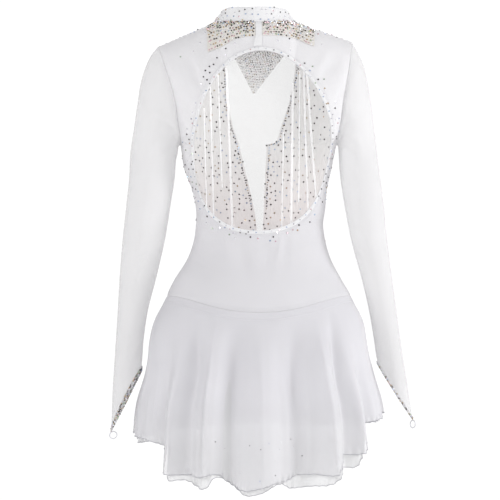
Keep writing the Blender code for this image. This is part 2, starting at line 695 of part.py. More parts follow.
def front_pieces(materials):
    """The see-through insert, the bib on it and the pleated panels beside it."""
    heights = np.array(HEIGHT_STEPS)
    left_edge, right_edge = insert_edges(heights)

    rows = slice(INSERT_FOOT_ROW, None)
    level = heights[rows]
    left, right = left_edge[rows], right_edge[rows]
    middle_z = body(1, np.zeros_like(level), level)[:, 2]
    on_bib = level > heights[BIB_POINT_ROW] - SEAM_GAP
    left_x, right_x = body(1, left, level)[:, 0], body(1, right, level)[:, 0]
    bib_sides = []
    for sign, slope, edge_x in ((-1, BIB_SLOPE_LEFT, left_x), (1, BIB_SLOPE_RIGHT, right_x)):
        side_x = np.full_like(level, BIB_POINT_X)
        for _ in range(SOLVE_ROUNDS):
            side_z = body(1, turn_for(side_x, middle_z, level), level)[:, 2]
            reach = BIB_POINT_HALF + slope * np.maximum(side_z - BIB_POINT_Z, 0)
            room = sign * (edge_x - BIB_POINT_X) - BIB_MARGIN
            side_x += SOLVE_STEP * (BIB_POINT_X + sign * np.minimum(reach, room) - side_x)
        bib_sides.append(np.where(on_bib, side_x, (left_x + right_x) / 2 + sign * (right_x - left_x) / 4))
    columns = []
    for share in np.linspace(0, 1, BIB_COLUMNS + 1):
        x = bib_sides[0] + share * (bib_sides[1] - bib_sides[0])
        columns.append(turn_for(x, middle_z, level))
    turn = np.stack([left] + columns + [right], axis=1)
    height = np.repeat(level[:, None], turn.shape[1], axis=1)

    def inset(grid):
        """The insert's grid with its side and lower edges drawn back from the panels."""
        grid[:, 0] = shift_towards(grid[:, 0], grid[:, 1], np.full(len(grid), SEAM_GAP / 2))
        grid[:, -1] = shift_towards(grid[:, -1], grid[:, -2], np.full(len(grid), SEAM_GAP / 2))
        grid[0] = shift_towards(grid[0], grid[1], np.full(grid.shape[1], SEAM_GAP))
        return grid

    wall(
        "front_insert",
        inset(body(1, turn, height)),
        inset(body(1, turn, height, -CHIFFON_WALL)),
        materials["sheer"],
    )

    bib_rows = slice(BIB_POINT_ROW - INSERT_FOOT_ROW, None)
    bib_high, bib_low = (
        body(1, turn, height, out)[bib_rows, 1:-1] for out in (BEAD_LIFT + BEADED_WALL, BEAD_LIFT)
    )
    wall("front_bib", bib_high, bib_low, materials["beads"])

    for name, sign, edge in (("front_panel_left", -1, left_edge), ("front_panel_right", 1, right_edge)):
        start = np.where(np.arange(len(heights)) < INSERT_FOOT_ROW, 0.0, edge)
        share = np.linspace(0, 1, FRONT_COLUMNS + 1)
        turn = start[:, None] + (sign * QUARTER - start[:, None]) * share
        height = np.repeat(heights[:, None], FRONT_COLUMNS + 1, axis=1)
        pleat = pleat_height(share[None, :], height)
        grids = []
        for out in (0.0, -BODICE_WALL):
            grid = body(1, turn, height, out + pleat)
            grid[:, 0] = shift_towards(grid[:, 0], grid[:, 1], np.full(len(grid), SEAM_GAP / 2))
            grids.append(grid)
        wall(name, grids[0], grids[1], materials["nude"])


def stand_collar(materials):
    """The stand collar, a leaning band that is open at the centre back."""
    slit = SEAM_GAP / 2 / NECK_HALF_WIDTH
    angles = np.linspace(slit, 2 * math.pi - slit, COLLAR_COLUMNS + 1)
    s, c = np.sin(angles), np.cos(angles)
    back = c > 0
    depth = np.where(back, NECK_DEPTH[-1], NECK_DEPTH[1])
    middle_z = np.where(back, NECK_MIDDLE_Z[-1], NECK_MIDDLE_Z[1])
    base_z = middle_z + (NECK_SIDE_Z - middle_z) * s**2 + COLLAR_LIFT
    rise = COLLAR_HEIGHT - COLLAR_SIDE_DROP * s**4
    grids = []
    for out in (COLLAR_OUT + BODICE_WALL, COLLAR_OUT):
        rows = []
        for share in COLLAR_ROWS:
            x = ARMHOLE[-1].middle + (NECK_HALF_WIDTH + out - COLLAR_LEAN * share) * s
            y = -(depth + out - COLLAR_DEPTH_LEAN * share) * c
            rows.append(np.stack([x, y, base_z + share * rise], axis=-1))
        grids.append(np.array(rows))
    wall("stand_collar", grids[0], grids[1], materials["white"])


def armhole_loop(sign, out):
    """The armhole's edge as a closed ring: armpit, up the back, shoulder, down the front."""
    steps = 1 + np.array(ARMHOLE_STEPS)
    back = body(-1, np.full(len(steps), sign * QUARTER), steps, out)
    front = body(1, np.full(len(steps), sign * QUARTER), steps, out)
    loop = np.concatenate([back, front[-2:0:-1]])
    loop[0, 1] = 0.0
    loop[len(steps) - 1, 1] = 0.0
    upright = shoulder_curve(steps)[1]
    loop[:, 0] += sign * (SLEEVE_CLEARANCE + CHIFFON_WALL * np.concatenate([upright, upright[-2:0:-1]]))
    loop[:, 2] += SLEEVE_CLEARANCE
    return loop


def oval(outer, inner, half_depth, y, angles, out):
    """A ring through an outer and an inner point, as deep as given, grown by out."""
    outer, inner = np.array(outer), np.array(inner)
    centre = (outer + inner) / 2
    reach = np.linalg.norm(inner - outer) / 2
    way = (inner - outer) / (2 * reach)
    x = centre[0] + (reach + out) * np.cos(angles) * way[0]
    z = centre[1] + (reach + out) * np.cos(angles) * way[1]
    return np.stack([x, y - (half_depth + out) * np.sin(angles), z], axis=-1)


def sleeve_rings(sign, out):
    """The rings of a sleeve from the armhole to the edge of its pointed cuff."""
    loop = armhole_loop(sign, out)
    count = len(loop)
    angles = np.arange(count) * 2 * math.pi / count
    top = count // 2
    half_depth = (loop[:, 1].max() - loop[:, 1].min()) / 2
    first = oval(loop[top, ::2], loop[0, ::2], half_depth, 0, angles, 0.0)
    rings = [loop]
    for row in SLEEVE:
        outer = (sign * (row.left_outer if sign < 0 else row.right_outer), row.outer_z)
        inner = (sign * (row.left_inner if sign < 0 else row.right_inner), row.inner_z)
        ring = oval(outer, inner, row.half_depth, row.y, angles, out)
        rings.append(ring + (loop - first) * row.shape_left)
    cuff = CUFF_EDGE[sign]
    edge = oval(
        (sign * cuff.outer, cuff.outer_z), (sign * cuff.inner, cuff.inner_z), cuff.half_depth, cuff.y, angles, out
    )
    edge[:, 2] -= cuff.bulge * np.sin(angles) ** 2
    band = shift_towards(edge, rings[-1], BAND_WIDTH[sign] + BAND_SLANT[sign] * np.sin(angles) ** 2)
    return np.array(rings + [band, edge])


def sleeve_pieces(materials):
    """Each sleeve, the stoned band round its cuff and the finger loop at its point."""
    for name, sign in (("left", -1), ("right", 1)):
        wall("sleeve_" + name, sleeve_rings(sign, 0.0), sleeve_rings(sign, -CHIFFON_WALL), materials["sheer"], True)
        low = sleeve_rings(sign, SEAM_GAP)[-2:]
        high = sleeve_rings(sign, SEAM_GAP + TRIM_WALL)[-2:]
        wall("cuff_band_" + name, high, low, materials["beads"], True)

        tip = high[-1, high.shape[1] // 2]
        axis = np.array(LOOP_AXIS[sign])
        axis /= np.linalg.norm(axis)
        lean = np.array(LOOP_LEAN[sign])
        lean -= axis * (lean @ axis)
        lean /= np.linalg.norm(lean)
        side = np.cross(axis, lean)
        reach = LOOP_RADIUS + LOOP_CORD_RADIUS + LOOP_CLEARANCE
        centre = tip + lean * reach
        ring = np.arange(LOOP_SIDES) * 2 * math.pi / LOOP_SIDES
        cord = np.arange(LOOP_CORD_SIDES) * 2 * math.pi / LOOP_CORD_SIDES
        points = []
        for turn in ring:
            way = math.cos(turn) * lean + math.sin(turn) * side
            for roll in cord:
                distance = LOOP_RADIUS + LOOP_CORD_RADIUS * math.cos(roll)
                points.append(centre + way * distance + axis * LOOP_CORD_RADIUS * math.sin(roll))
        faces = []
        for i in range(LOOP_SIDES):
            for j in range(LOOP_CORD_SIDES):
                after, over = (i + 1) % LOOP_SIDES, (j + 1) % LOOP_CORD_SIDES
                a, b = i * LOOP_CORD_SIDES + j, after * LOOP_CORD_SIDES + j
                d, c = i * LOOP_CORD_SIDES + over, after * LOOP_CORD_SIDES + over
                faces.extend([(a, b, c), (a, c, d)])
        add_mesh("finger_loop_" + name, points, faces, materials["white"])


def full_angle(side, turn):
    """A place on the back or front as one angle in degrees from the middle of the back."""
    degrees = np.degrees(turn)
    front = np.where(turn >= 0, 180 - degrees, -180 - degrees)
    return degrees if side < 0 else front


def fold_reach(angle, drop):
    """How far the skirt's folds and hollows stand out at an angle and a share of the way down."""
    reach = -FOLD_SINK * ease(drop / FOLD_SINK_SHARE)
    for fold in FOLDS:
        off = (angle - fold.angle + 180) % 360 - 180
        shape = np.exp(-((off / fold.half_width) ** 2))
        opening = ease((drop - fold.start) / (1 - fold.start)) ** FOLD_SPREAD
        reach = reach + fold.height * shape * opening
    for hollow in HOLLOWS:
        off = (angle - hollow.angle + 180) % 360 - 180
        near = ((off / hollow.half_width) ** 2) + ((drop - hollow.middle) / hollow.spread) ** 2
        reach = reach - hollow.depth * np.exp(-near) * ease(drop / HOLLOW_START)
    return reach


def skirt_point(side, turn, drop, layer, out=0.0):
    """A point of a skirt layer, from its seam (drop 0) to its hem (drop 1)."""
    turn, drop = np.broadcast_arrays(np.asarray(turn, float), np.asarray(drop, float))
    across, deep = section(turn)
    angle = full_angle(side, turn)
    top_z = seam_z(side, turn) - SEAM_GAP
    hem_z = along(HEM, angle, "z") - layer.peek * along(PEEK, angle, "longer")
    z = top_z + (hem_z - top_z) * drop
    depth_name = "back" if side < 0 else "front"
    out = out + layer.top_out - layer.hem_in * ease(drop / LAYER_PART_SHARE) + fold_reach(angle, drop)
    half_width = along(TORSO, top_z, "half_width") + along(SKIRT, z, "half_width") - along(SKIRT, top_z, "half_width")
    depth = along(TORSO, top_z, depth_name) + along(SKIRT, z, depth_name) - along(SKIRT, top_z, depth_name)
    middle = along(TORSO, top_z, "middle") + along(SKIRT, z, "middle") - along(SKIRT, top_z, "middle")
    x = middle + (half_width + out) * across
    y = SEAM_GAP / 2 + (depth + out) * deep
    return np.stack([x, side * y, z], axis=-1)


def skirt_pieces(materials):
    """The skirt's two chiffon layers, each a back and a front that meet at the side seams."""
    turn, drop = np.meshgrid(np.linspace(-QUARTER, QUARTER, SKIRT_COLUMNS + 1), SKIRT_STEPS)
    for layer_name, layer in (("upper", UPPER), ("under", UNDER)):
        for side_name, side in (("back", -1), ("front", 1)):
            outside = skirt_point(side, turn, drop, layer)
            inside = skirt_point(side, turn, drop, layer, -CHIFFON_WALL)
            wall("skirt_" + layer_name + "_" + side_name, outside, inside, materials["chiffon"])


def briefs_point(side, share, drop, out):
    """A point of the briefs, from the waist seam down to the leg line."""
    turn = share * QUARTER
    top_z = seam_z(side, turn) - SEAM_GAP
    across = section(turn)[0]
    top_x = along(TORSO, top_z, "half_width") * across
    low_x = np.sign(share) * along(LEG_LINE, np.abs(share), "x")
    low_z = along(LEG_LINE, np.abs(share), "z")
    z = top_z + (low_z - top_z) * drop
    half_width = along(TORSO, z, "half_width")
    x = top_x + (low_x - top_x) * drop
    reach = np.clip(np.abs(x) / half_width, 0, 1)
    reach = np.where(np.isclose(np.abs(share), 1), 1.0, reach)
    turn = turn_at(np.sign(share) * reach)
    across, deep = section(turn)
    under = np.clip((CROTCH_TURN_Z - z) / (CROTCH_TURN_Z - CROTCH_Z), 0, 1)
    close = np.sqrt(1 - under**2)
    depth_name = "back" if side < 0 else "front"
    depth = along(TORSO, z, depth_name)
    middle = along(TORSO, z, "middle")
    x = middle + (half_width + out * close) * across
    y = SEAM_GAP / 2 + (depth + out) * deep * close
    return np.stack([x, side * y, z - out * under * np.abs(deep)], axis=-1)


def briefs_pieces(materials):
    """The built-in briefs, a back and a front that meet at the sides and the crotch."""
    share, drop = np.meshgrid(np.linspace(-1, 1, BRIEFS_COLUMNS + 1), BRIEFS_STEPS)
    for name, side in (("back", -1), ("front", 1)):
        outside = briefs_point(side, share, drop, BRIEFS_OUT)
        inside = briefs_point(side, share, drop, BRIEFS_OUT - CHIFFON_WALL)
        wall("briefs_" + name, outside, inside, materials["white"])


def main():
    """Builds the dress in an empty scene."""
    for old in list(bpy.data.objects):
        bpy.data.objects.remove(old)
    materials = {
        "white": finish("white_cloth", WHITE_CLOTH),
        "nude": finish("nude_backed_cloth", NUDE_CLOTH),
        "sheer": finish("sheer_mesh", SHEER_MESH),
        "chiffon": finish("chiffon", CHIFFON),
        "beads": finish("beads", BEADS),
    }
    back_pieces(materials)
    front_pieces(materials)
    stand_collar(materials)
    sleeve_pieces(materials)
    skirt_pieces(materials)
    briefs_pieces(materials)


main()
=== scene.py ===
"""A white figure skating dress with an open back, worn and hollow, over its solids.

Metres, +Z up. The back of the dress faces -Y and its front +Y.
"""
import math
from collections import namedtuple
from functools import partial

import bpy
import numpy as np
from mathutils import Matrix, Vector


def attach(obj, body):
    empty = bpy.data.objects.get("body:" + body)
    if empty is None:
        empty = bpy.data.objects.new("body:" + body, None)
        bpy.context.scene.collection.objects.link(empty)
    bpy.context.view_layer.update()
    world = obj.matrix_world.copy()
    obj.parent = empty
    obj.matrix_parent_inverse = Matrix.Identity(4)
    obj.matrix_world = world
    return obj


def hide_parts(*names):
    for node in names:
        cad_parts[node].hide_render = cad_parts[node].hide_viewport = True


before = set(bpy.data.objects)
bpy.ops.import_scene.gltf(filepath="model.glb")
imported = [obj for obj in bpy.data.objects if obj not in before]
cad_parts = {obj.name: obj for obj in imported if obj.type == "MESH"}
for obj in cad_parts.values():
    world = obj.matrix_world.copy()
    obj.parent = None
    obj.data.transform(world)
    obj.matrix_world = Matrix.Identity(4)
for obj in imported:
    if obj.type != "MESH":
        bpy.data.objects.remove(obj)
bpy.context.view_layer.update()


def table(columns, *rows):
    """Rows of values under named columns."""
    kind = namedtuple("Row", columns)
    return [kind(*row) for row in rows]


# Walls and seams
BODICE_WALL = 0.0015
BEADED_WALL = 0.0020
TRIM_WALL = 0.0012
SEAM_GAP = 0.0003
BEAD_LIFT = 0.0005
QUARTER = math.pi / 2
SHARP_ANGLE = math.radians(50)
DISPLAY_GAMMA = 2.2
TINY = 1e-12
SIDES = {"left": -1, "right": 1}
HALVES = {"back": -1, "front": 1}
DEPTH_NAME = {-1: "back", 1: "front"}

# Neck and shoulders
NECK_HALF_WIDTH = 0.074
NECK_DEPTH = {-1: 0.058, 1: 0.068}
NECK_MIDDLE_Z = {-1: 0.0145, 1: -0.028}
NECK_SIDE_Z = 0.015
SHOULDER_SLOPE_LEFT = 0.432
SHOULDER_SLOPE_RIGHT = 0.345
COLLAR_HEIGHT = 0.0257
COLLAR_SIDE_DROP = 0.0052
COLLAR_LEAN = 0.017
COLLAR_DEPTH_LEAN = 0.0133
COLLAR_OUT = 0.0005
COLLAR_CLEARANCE = 0.0008
COLLAR_LIFT = BEAD_LIFT + BEADED_WALL + SEAM_GAP + COLLAR_CLEARANCE
# The collar starts below its seam. Its depth goes from front to back over a short way at its sides. Its top
# edge is a little thicker, and it waves
COLLAR_FOOT = -0.10
COLLAR_SIDE_BLEND = 0.12
COLLAR_EDGE = 0.0006
COLLAR_EDGE_START = 0.86
COLLAR_EDGE_FADE = 0.08
COLLAR_WAVE = 0.0010
COLLAR_OUT_WAVES = 7
COLLAR_UP_WAVES = 5
COLLAR_WAVE_START = 1.1

# Body sections
SECTION_POWER = 2 / 2.25
SHOULDER_ROUNDNESS = 0.8
ARMPIT_Z = -0.220
SEAM_SIDE_Z = -0.505
SEAM_DROP = {-1: 0.031, 1: 0.025}
SEAM_CURVE = 4
SOLVE_ROUNDS = 30
SOLVE_STEP = 0.7
TORSO = table(
    "z half_width middle back front",
    (-0.740, 0.1500, -0.001, 0.085, 0.072), (-0.660, 0.1720, -0.001, 0.108, 0.082),
    (-0.600, 0.1800, -0.001, 0.119, 0.089), (-0.560, 0.1820, -0.001, 0.121, 0.093),
    (-0.513, 0.1780, -0.001, 0.113, 0.095), (-0.475, 0.1590, -0.003, 0.098, 0.094),
    (-0.437, 0.1370, -0.001, 0.081, 0.091), (-0.399, 0.1245, 0.000, 0.071, 0.088),
    (-0.371, 0.1207, 0.000, 0.068, 0.087), (-0.342, 0.1226, 0.002, 0.071, 0.090),
    (-0.304, 0.1280, 0.000, 0.080, 0.098), (-0.266, 0.1388, -0.003, 0.090, 0.110),
    (-0.220, 0.1470, -0.002, 0.098, 0.118),
)

# The armhole, from the armpit (lift 0) to the shoulder (lift 1): how far the body reaches across, how far the
# armhole's edge lies off the side plane, and the depths at the middle
ARMHOLE = table(
    "lift half_width edge middle back front",
    (0.00, 0.1470, 0.000, -0.002, 0.098, 0.118), (0.08, 0.1490, 0.027, -0.001, 0.100, 0.118),
    (0.20, 0.1525, 0.042, 0.000, 0.101, 0.115), (0.38, 0.1575, 0.055, 0.000, 0.101, 0.109),
    (0.59, 0.1650, 0.063, -0.001, 0.098, 0.099), (0.79, 0.1740, 0.067, -0.004, 0.094, 0.089),
    (0.94, 0.1805, 0.069, -0.007, 0.090, 0.080), (1.00, 0.1830, 0.070, -0.009, 0.088, 0.076),
)
ARMHOLE_STEPS = (0, 0.05, 0.12, 0.22, 0.345, 0.48, 0.63, 0.78, 0.90, 1)
BELOW_STEPS = (0, 0.15, 0.29, 0.3226, 0.48, 0.64, 0.80)
HEIGHT_STEPS = BELOW_STEPS + tuple(1 + step for step in ARMHOLE_STEPS)

# The open back, an uneven egg through these places of its edge, and the rings of the panel around it
KEYHOLE_X = 0.00475
KEYHOLE_Z = -0.228
KEYHOLE_HALF_WIDTH = 0.1273
KEYHOLE_WAVES = 5
KEYHOLE_EDGE = table(
    "x z",
    (0.0010, -0.0399), (-0.0276, -0.0429), (-0.0504, -0.0551), (-0.0694, -0.0836), (-0.0903, -0.1064),
    (-0.1036, -0.1235), (-0.1093, -0.1387), (-0.1150, -0.1615), (-0.1207, -0.1957), (-0.1235, -0.2413),
    (-0.1216, -0.2755), (-0.1150, -0.3059), (-0.0998, -0.3363), (-0.0827, -0.3553), (-0.0561, -0.3686),
    (-0.0219, -0.3800), (0.0048, -0.3819), (0.0390, -0.3781), (0.0580, -0.3658), (0.0922, -0.3401),
    (0.1112, -0.3097), (0.1264, -0.2717), (0.1311, -0.2413), (0.1321, -0.1957), (0.1302, -0.1615),
    (0.1226, -0.1311), (0.1112, -0.1159), (0.0960, -0.0950), (0.0770, -0.0779), (0.0656, -0.0646),
    (0.0466, -0.0513), (0.0314, -0.0418),
)
BINDING_WIDTH = 0.007
RING_PROBE = 0.02
BOTTOM_COLUMNS = 24
RING_SHARES = (0.30, 0.56, 0.80, 1.0)

# Columns across the top of the back, from the middle of the neck, and the placket and yoke tabs between them
TAB_LEFT_END = -0.0885
PLACKET_LEFT = 0.0020
PLACKET_RIGHT = 0.0138
TAB_RIGHT_END = 0.1126
TOP_STATIONS = (
    -0.183, -0.160, -0.136, -0.112, TAB_LEFT_END, -NECK_HALF_WIDTH, -0.056, -0.035, -0.015, PLACKET_LEFT,
    PLACKET_RIGHT, 0.034, 0.056, NECK_HALF_WIDTH, 0.095, TAB_RIGHT_END, 0.136, 0.160, 0.183,
)
HOLE_SQUEEZE = 0.177
YOKE_LOW_RING = 3
TAB_CORNER_CUT = 0.75
YOKE_LINE = table(
    "station z",
    (TAB_LEFT_END, -0.0437), (-0.0566, -0.0304), (-0.0414, -0.0209), (-0.0190, -0.0150), (0.0080, -0.0125),
    (0.0340, -0.0123), (0.0669, -0.0155), (0.0859, -0.0212), (0.0973, -0.0270), (TAB_RIGHT_END, -0.0323),
)

# The front: edges of the see-through insert, and the pleats of the panels beside it
INSERT = table(
    "z left right",
    (-0.430, -0.0030, 0.0030), (-0.380, -0.0050, 0.0062), (-0.348, -0.0086, 0.0080),
    (-0.300, -0.0190, 0.0100), (-0.253, -0.0310, 0.0120), (-0.2165, -0.0390, 0.0140),
    (-0.2140, -0.0400, 0.0310), (-0.2070, -0.0420, 0.0345), (-0.200, -0.0445, 0.0362),
    (-0.180, -0.0515, 0.0420), (-0.133, -0.0617, 0.0580), (-0.090, -0.0625, 0.0660),
    (-0.060, -0.0650, 0.0690), (-0.030, -0.0750, 0.0690), (0.012, -0.0870, 0.0690),
)
INSERT_FOOT_ROW = 3
BIB_POINT_ROW = 11
BIB_POINT_X = -0.0105
BIB_POINT_Z = -0.1205
BIB_POINT_HALF = 0.002
BIB_SLOPE_LEFT = 0.52
BIB_SLOPE_RIGHT = 0.77
BIB_MARGIN = 0.004
PLEATS = 6
PLEAT_HEIGHT = 0.0032
PLEAT_START_UP = 0.36
PLEAT_RISE = 0.5
PLEAT_TOP_FADE = 0.2
PLEAT_INNER_MARGIN = 0.06
PLEAT_ARMHOLE_MARGIN = 0.16

# Sleeves. Rows run from the armhole down: the outer line, the line along the body, the depth and the place
# front to back, and how much of the armhole's own shape is left
SLEEVE = table(
    "left_outer right_outer outer_z left_inner right_inner inner_z half_depth y shape_left",
    (0.2045, 0.1885, -0.046, 0.1518, 0.1475, -0.2192, 0.057, 0.000, 0.60),
    (0.2155, 0.1980, -0.068, 0.1535, 0.1490, -0.2205, 0.056, 0.000, 0.30),
    (0.2255, 0.2060, -0.100, 0.1545, 0.1495, -0.2235, 0.054, 0.000, 0.10),
    (0.2320, 0.2130, -0.140, 0.1550, 0.1500, -0.2285, 0.051, 0.000, 0.0),
    (0.2385, 0.2185, -0.185, 0.1560, 0.1505, -0.2360, 0.048, -0.002, 0.0),
    (0.2455, 0.2240, -0.232, 0.1585, 0.1510, -0.2480, 0.045, -0.003, 0.0),
    (0.2475, 0.2295, -0.275, 0.1610, 0.1535, -0.2800, 0.042, -0.004, 0.0),
    (0.2530, 0.2365, -0.330, 0.1685, 0.1610, -0.3300, 0.040, -0.006, 0.0),
    (0.2605, 0.2435, -0.400, 0.1800, 0.1745, -0.4000, 0.039, -0.005, 0.0),
    (0.2660, 0.2525, -0.470, 0.1955, 0.1930, -0.4680, 0.034, 0.000, 0.0),
    (0.2705, 0.2625, -0.545, 0.2125, 0.2085, -0.5350, 0.030, 0.008, 0.0),
    (0.2750, 0.2720, -0.615, 0.2200, 0.2170, -0.5850, 0.027, 0.016, 0.0),
    (0.2795, 0.2835, -0.685, 0.2225, 0.2215, -0.6160, 0.026, 0.022, 0.0),
)
CuffEdge = namedtuple("CuffEdge", "outer outer_z inner inner_z half_depth y bulge")
CUFF_EDGE = {
    -1: CuffEdge(0.2820, -0.764, 0.2245, -0.648, 0.026, 0.026, 0.002),
    1: CuffEdge(0.2910, -0.741, 0.2245, -0.634, 0.026, 0.026, 0.003),
}
SLEEVE_CLEARANCE = 0.0004
# The sleeve's top edge is tucked in towards the body, and drawn a little closer
SLEEVE_TUCK = 0.004
SLEEVE_TUCK_CLOSE = 0.02
# How wide a cuff's band is at its two ends, and how much wider on its slanted sides
BAND_WIDTH = {-1: 0.010, 1: 0.0055}
BAND_SLANT = {-1: 0.011, 1: 0.0015}
LOOP_RADIUS = 0.0070
LOOP_CORD_RADIUS = 0.0010
LOOP_CLEARANCE = 0.00035
LOOP_STRANDS = 2
LOOP_TWIST = 0.10
LOOP_TWISTS = 9
# The line through each finger loop's hole, and the way it hangs from the cuff's point
LOOP_AXIS = {-1: (0.15, -0.95, -0.27), 1: (-0.74, -0.67, 0.0)}
LOOP_LEAN = {-1: (0.67, 0.32, -0.75), 1: (-0.10, 0.11, -1.0)}

# Skirt: its outline, its hem all round and its folds. Angles are in degrees from the middle of the back
# towards +X, and beyond 90 they lie on the front
SKIRT = table(
    "z half_width middle back front",
    (-0.900, 0.2430, 0.000, 0.196, 0.168), (-0.770, 0.2400, 0.000, 0.182, 0.156),
    (-0.703, 0.2350, -0.001, 0.170, 0.144), (-0.665, 0.2270, -0.001, 0.161, 0.135),
    (-0.627, 0.2205, -0.001, 0.150, 0.125), (-0.590, 0.2140, -0.002, 0.139, 0.114),
    (-0.550, 0.2020, -0.001, 0.126, 0.103), (-0.513, 0.1815, -0.001, 0.113, 0.095),
    (-0.480, 0.1700, -0.001, 0.102, 0.092),
)
HEM = table(
    "angle z",
    (-180, -0.735), (-150, -0.742), (-115, -0.758), (-90, -0.769), (-72, -0.773), (-60, -0.782),
    (-52, -0.789), (-48, -0.798), (-42, -0.841), (-40, -0.8425), (-33, -0.8425), (-24, -0.848),
    (-16, -0.843), (-12, -0.857), (-6, -0.873), (0, -0.869), (6, -0.858), (10, -0.855), (15, -0.845),
    (24, -0.841), (33, -0.840), (39, -0.806), (41, -0.8045), (48, -0.804), (51, -0.799), (54, -0.779),
    (60, -0.749), (66, -0.743), (74, -0.7395), (90, -0.727), (115, -0.732), (150, -0.738), (180, -0.735),
)
# How far the under layer hangs below the upper one
PEEK = table(
    "angle longer",
    (-180, 0.012), (-90, 0.011), (-74, 0.010), (-66, 0.003), (-50, 0.003), (-43, 0.012), (-33, 0.012),
    (-30, 0.020), (-23, 0.021), (-21, 0.020), (-18, 0.008), (-12, 0.002), (-6, 0.008), (0, 0.0095),
    (6, 0.0035), (9, 0.004), (14, 0.021), (16, 0.023), (24, 0.023), (33, 0.017), (40, 0.023), (46, 0.024),
    (48, 0.024), (52, 0.004), (54, 0.003), (66, 0.003), (90, 0.006), (120, 0.012), (180, 0.012),
)
FOLDS = table(
    "angle half_width height start",
    (-160, 10, 0.020, 0.10), (-132, 10, 0.022, 0.06), (-104, 9, 0.016, 0.30), (-76, 7, 0.010, 0.35),
    (-50, 6, -0.012, 0.20), (-41, 7, 0.027, 0.10), (-20, 7, 0.026, 0.04), (2, 7, 0.024, 0.06),
    (33, 7, 0.026, 0.04), (51, 6, 0.020, 0.15), (60, 5, -0.010, 0.25), (77, 8, 0.010, 0.35),
    (104, 9, 0.016, 0.30), (131, 10, 0.022, 0.06), (157, 10, 0.020, 0.10), (180, 8, 0.018, 0.12),
)
HOLLOWS = table(
    "angle half_width depth middle spread",
    (-146, 9, 0.007, 0.40, 0.26), (-118, 8, 0.007, 0.38, 0.26), (-31, 5, 0.009, 0.36, 0.24),
    (-9, 7, 0.012, 0.34, 0.24), (17, 9, 0.012, 0.33, 0.24), (42, 5, 0.009, 0.34, 0.22),
    (118, 8, 0.007, 0.38, 0.26), (144, 9, 0.007, 0.40, 0.26), (168, 7, 0.006, 0.42, 0.26),
)
HOLLOW_START = 0.12
FOLD_SINK = 0.0075
FOLD_SINK_SHARE = 0.6
FOLD_SPREAD = 0.8
LAYER_PART_SHARE = 0.5
SKIRT_DROP = 0.30
Layer = namedtuple("Layer", "top_out hem_in peek fold_shift")
UPPER = Layer(top_out=0.0003, hem_in=0.0, peek=0, fold_shift=0.0)
UNDER = Layer(top_out=-0.0012, hem_in=0.007, peek=1, fold_shift=4.0)
BRIEFS_OUT = -0.0027

# Briefs: their lower edge from the side seam to the crotch
LEG_LINE = table(
    "share x z",
    (0.00, 0.000, -0.7370), (0.20, 0.030, -0.7355), (0.32, 0.040, -0.7260), (0.55, 0.082, -0.6780),
    (0.80, 0.140, -0.6250), (1.00, 0.180, -0.5980),
)
CROTCH_Z = -0.7372
CROTCH_TURN_Z = -0.650

# How finely the cloth is drawn
BACK_FINE = 4
RING_FINE = 8
BINDING_FINE = 4
FRONT_FINE = 5
SLEEVE_FINE = 6
SLEEVE_ROUND_FINE = 6
SKIRT_FINE_COLUMNS = 320
SKIRT_FINE_ROWS = 64
BRIEFS_FINE_COLUMNS = 72
BRIEFS_FINE_ROWS = 40
COLLAR_FINE_COLUMNS = 180
COLLAR_FINE_ROWS = 12
INSERT_POINTS = 61
BIB_POINTS = 33
PANEL_POINTS = 150
LOOP_FINE = 56
LOOP_CORD_FINE = 14
TUCK_SIDES = 8
# The rows of the skirt are a little closer towards its hem
SKIRT_ROW_POWER = 0.9

# The cloth that is shown: how thick it is, how far it lies out, and how far it dips in at seams
CLOTH = 0.0005
CHIFFON_CLOTH = 0.0004
TRIM_CLOTH = 0.0008
BEAD_CLOTH = 0.0006
COLLAR_CLOTH = 0.0009
BEAD_CLOTH_OUT = BEAD_LIFT + 0.0009
BAND_OUT = SEAM_GAP + 0.0007
BINDING_LIFT = 0.0004
BINDING_BULGE = 0.0009
BINDING_ROUNDNESS = 0.6
BRIEFS_INNER = 0.004
SEAM_DIP = 0.0012
SEAM_DIP_WIDTH = 0.004
ARMHOLE_DIP = 0.0004
HEM_CORD = 0.0008
TUCK_LIFT = 0.0003
TUCK_FLAT = 0.35

# Creases: how deep they are at their ends, and over what way they fade out at the edges of a piece, as shares
# of the back's rings and in metres elsewhere
CREASE_ENDS = 0.35
CREASE_ROUNDNESS = 0.8
HOLE_FADE = 0.12
EDGE_FADE = 0.05
PANEL_FADE = 0.02
PANEL_FOOT_SPAN = 0.02
SLEEVE_TOP_FADE = 0.02
SLEEVE_LOW_PLAIN = 0.05
SLEEVE_LOW_FADE = 0.04
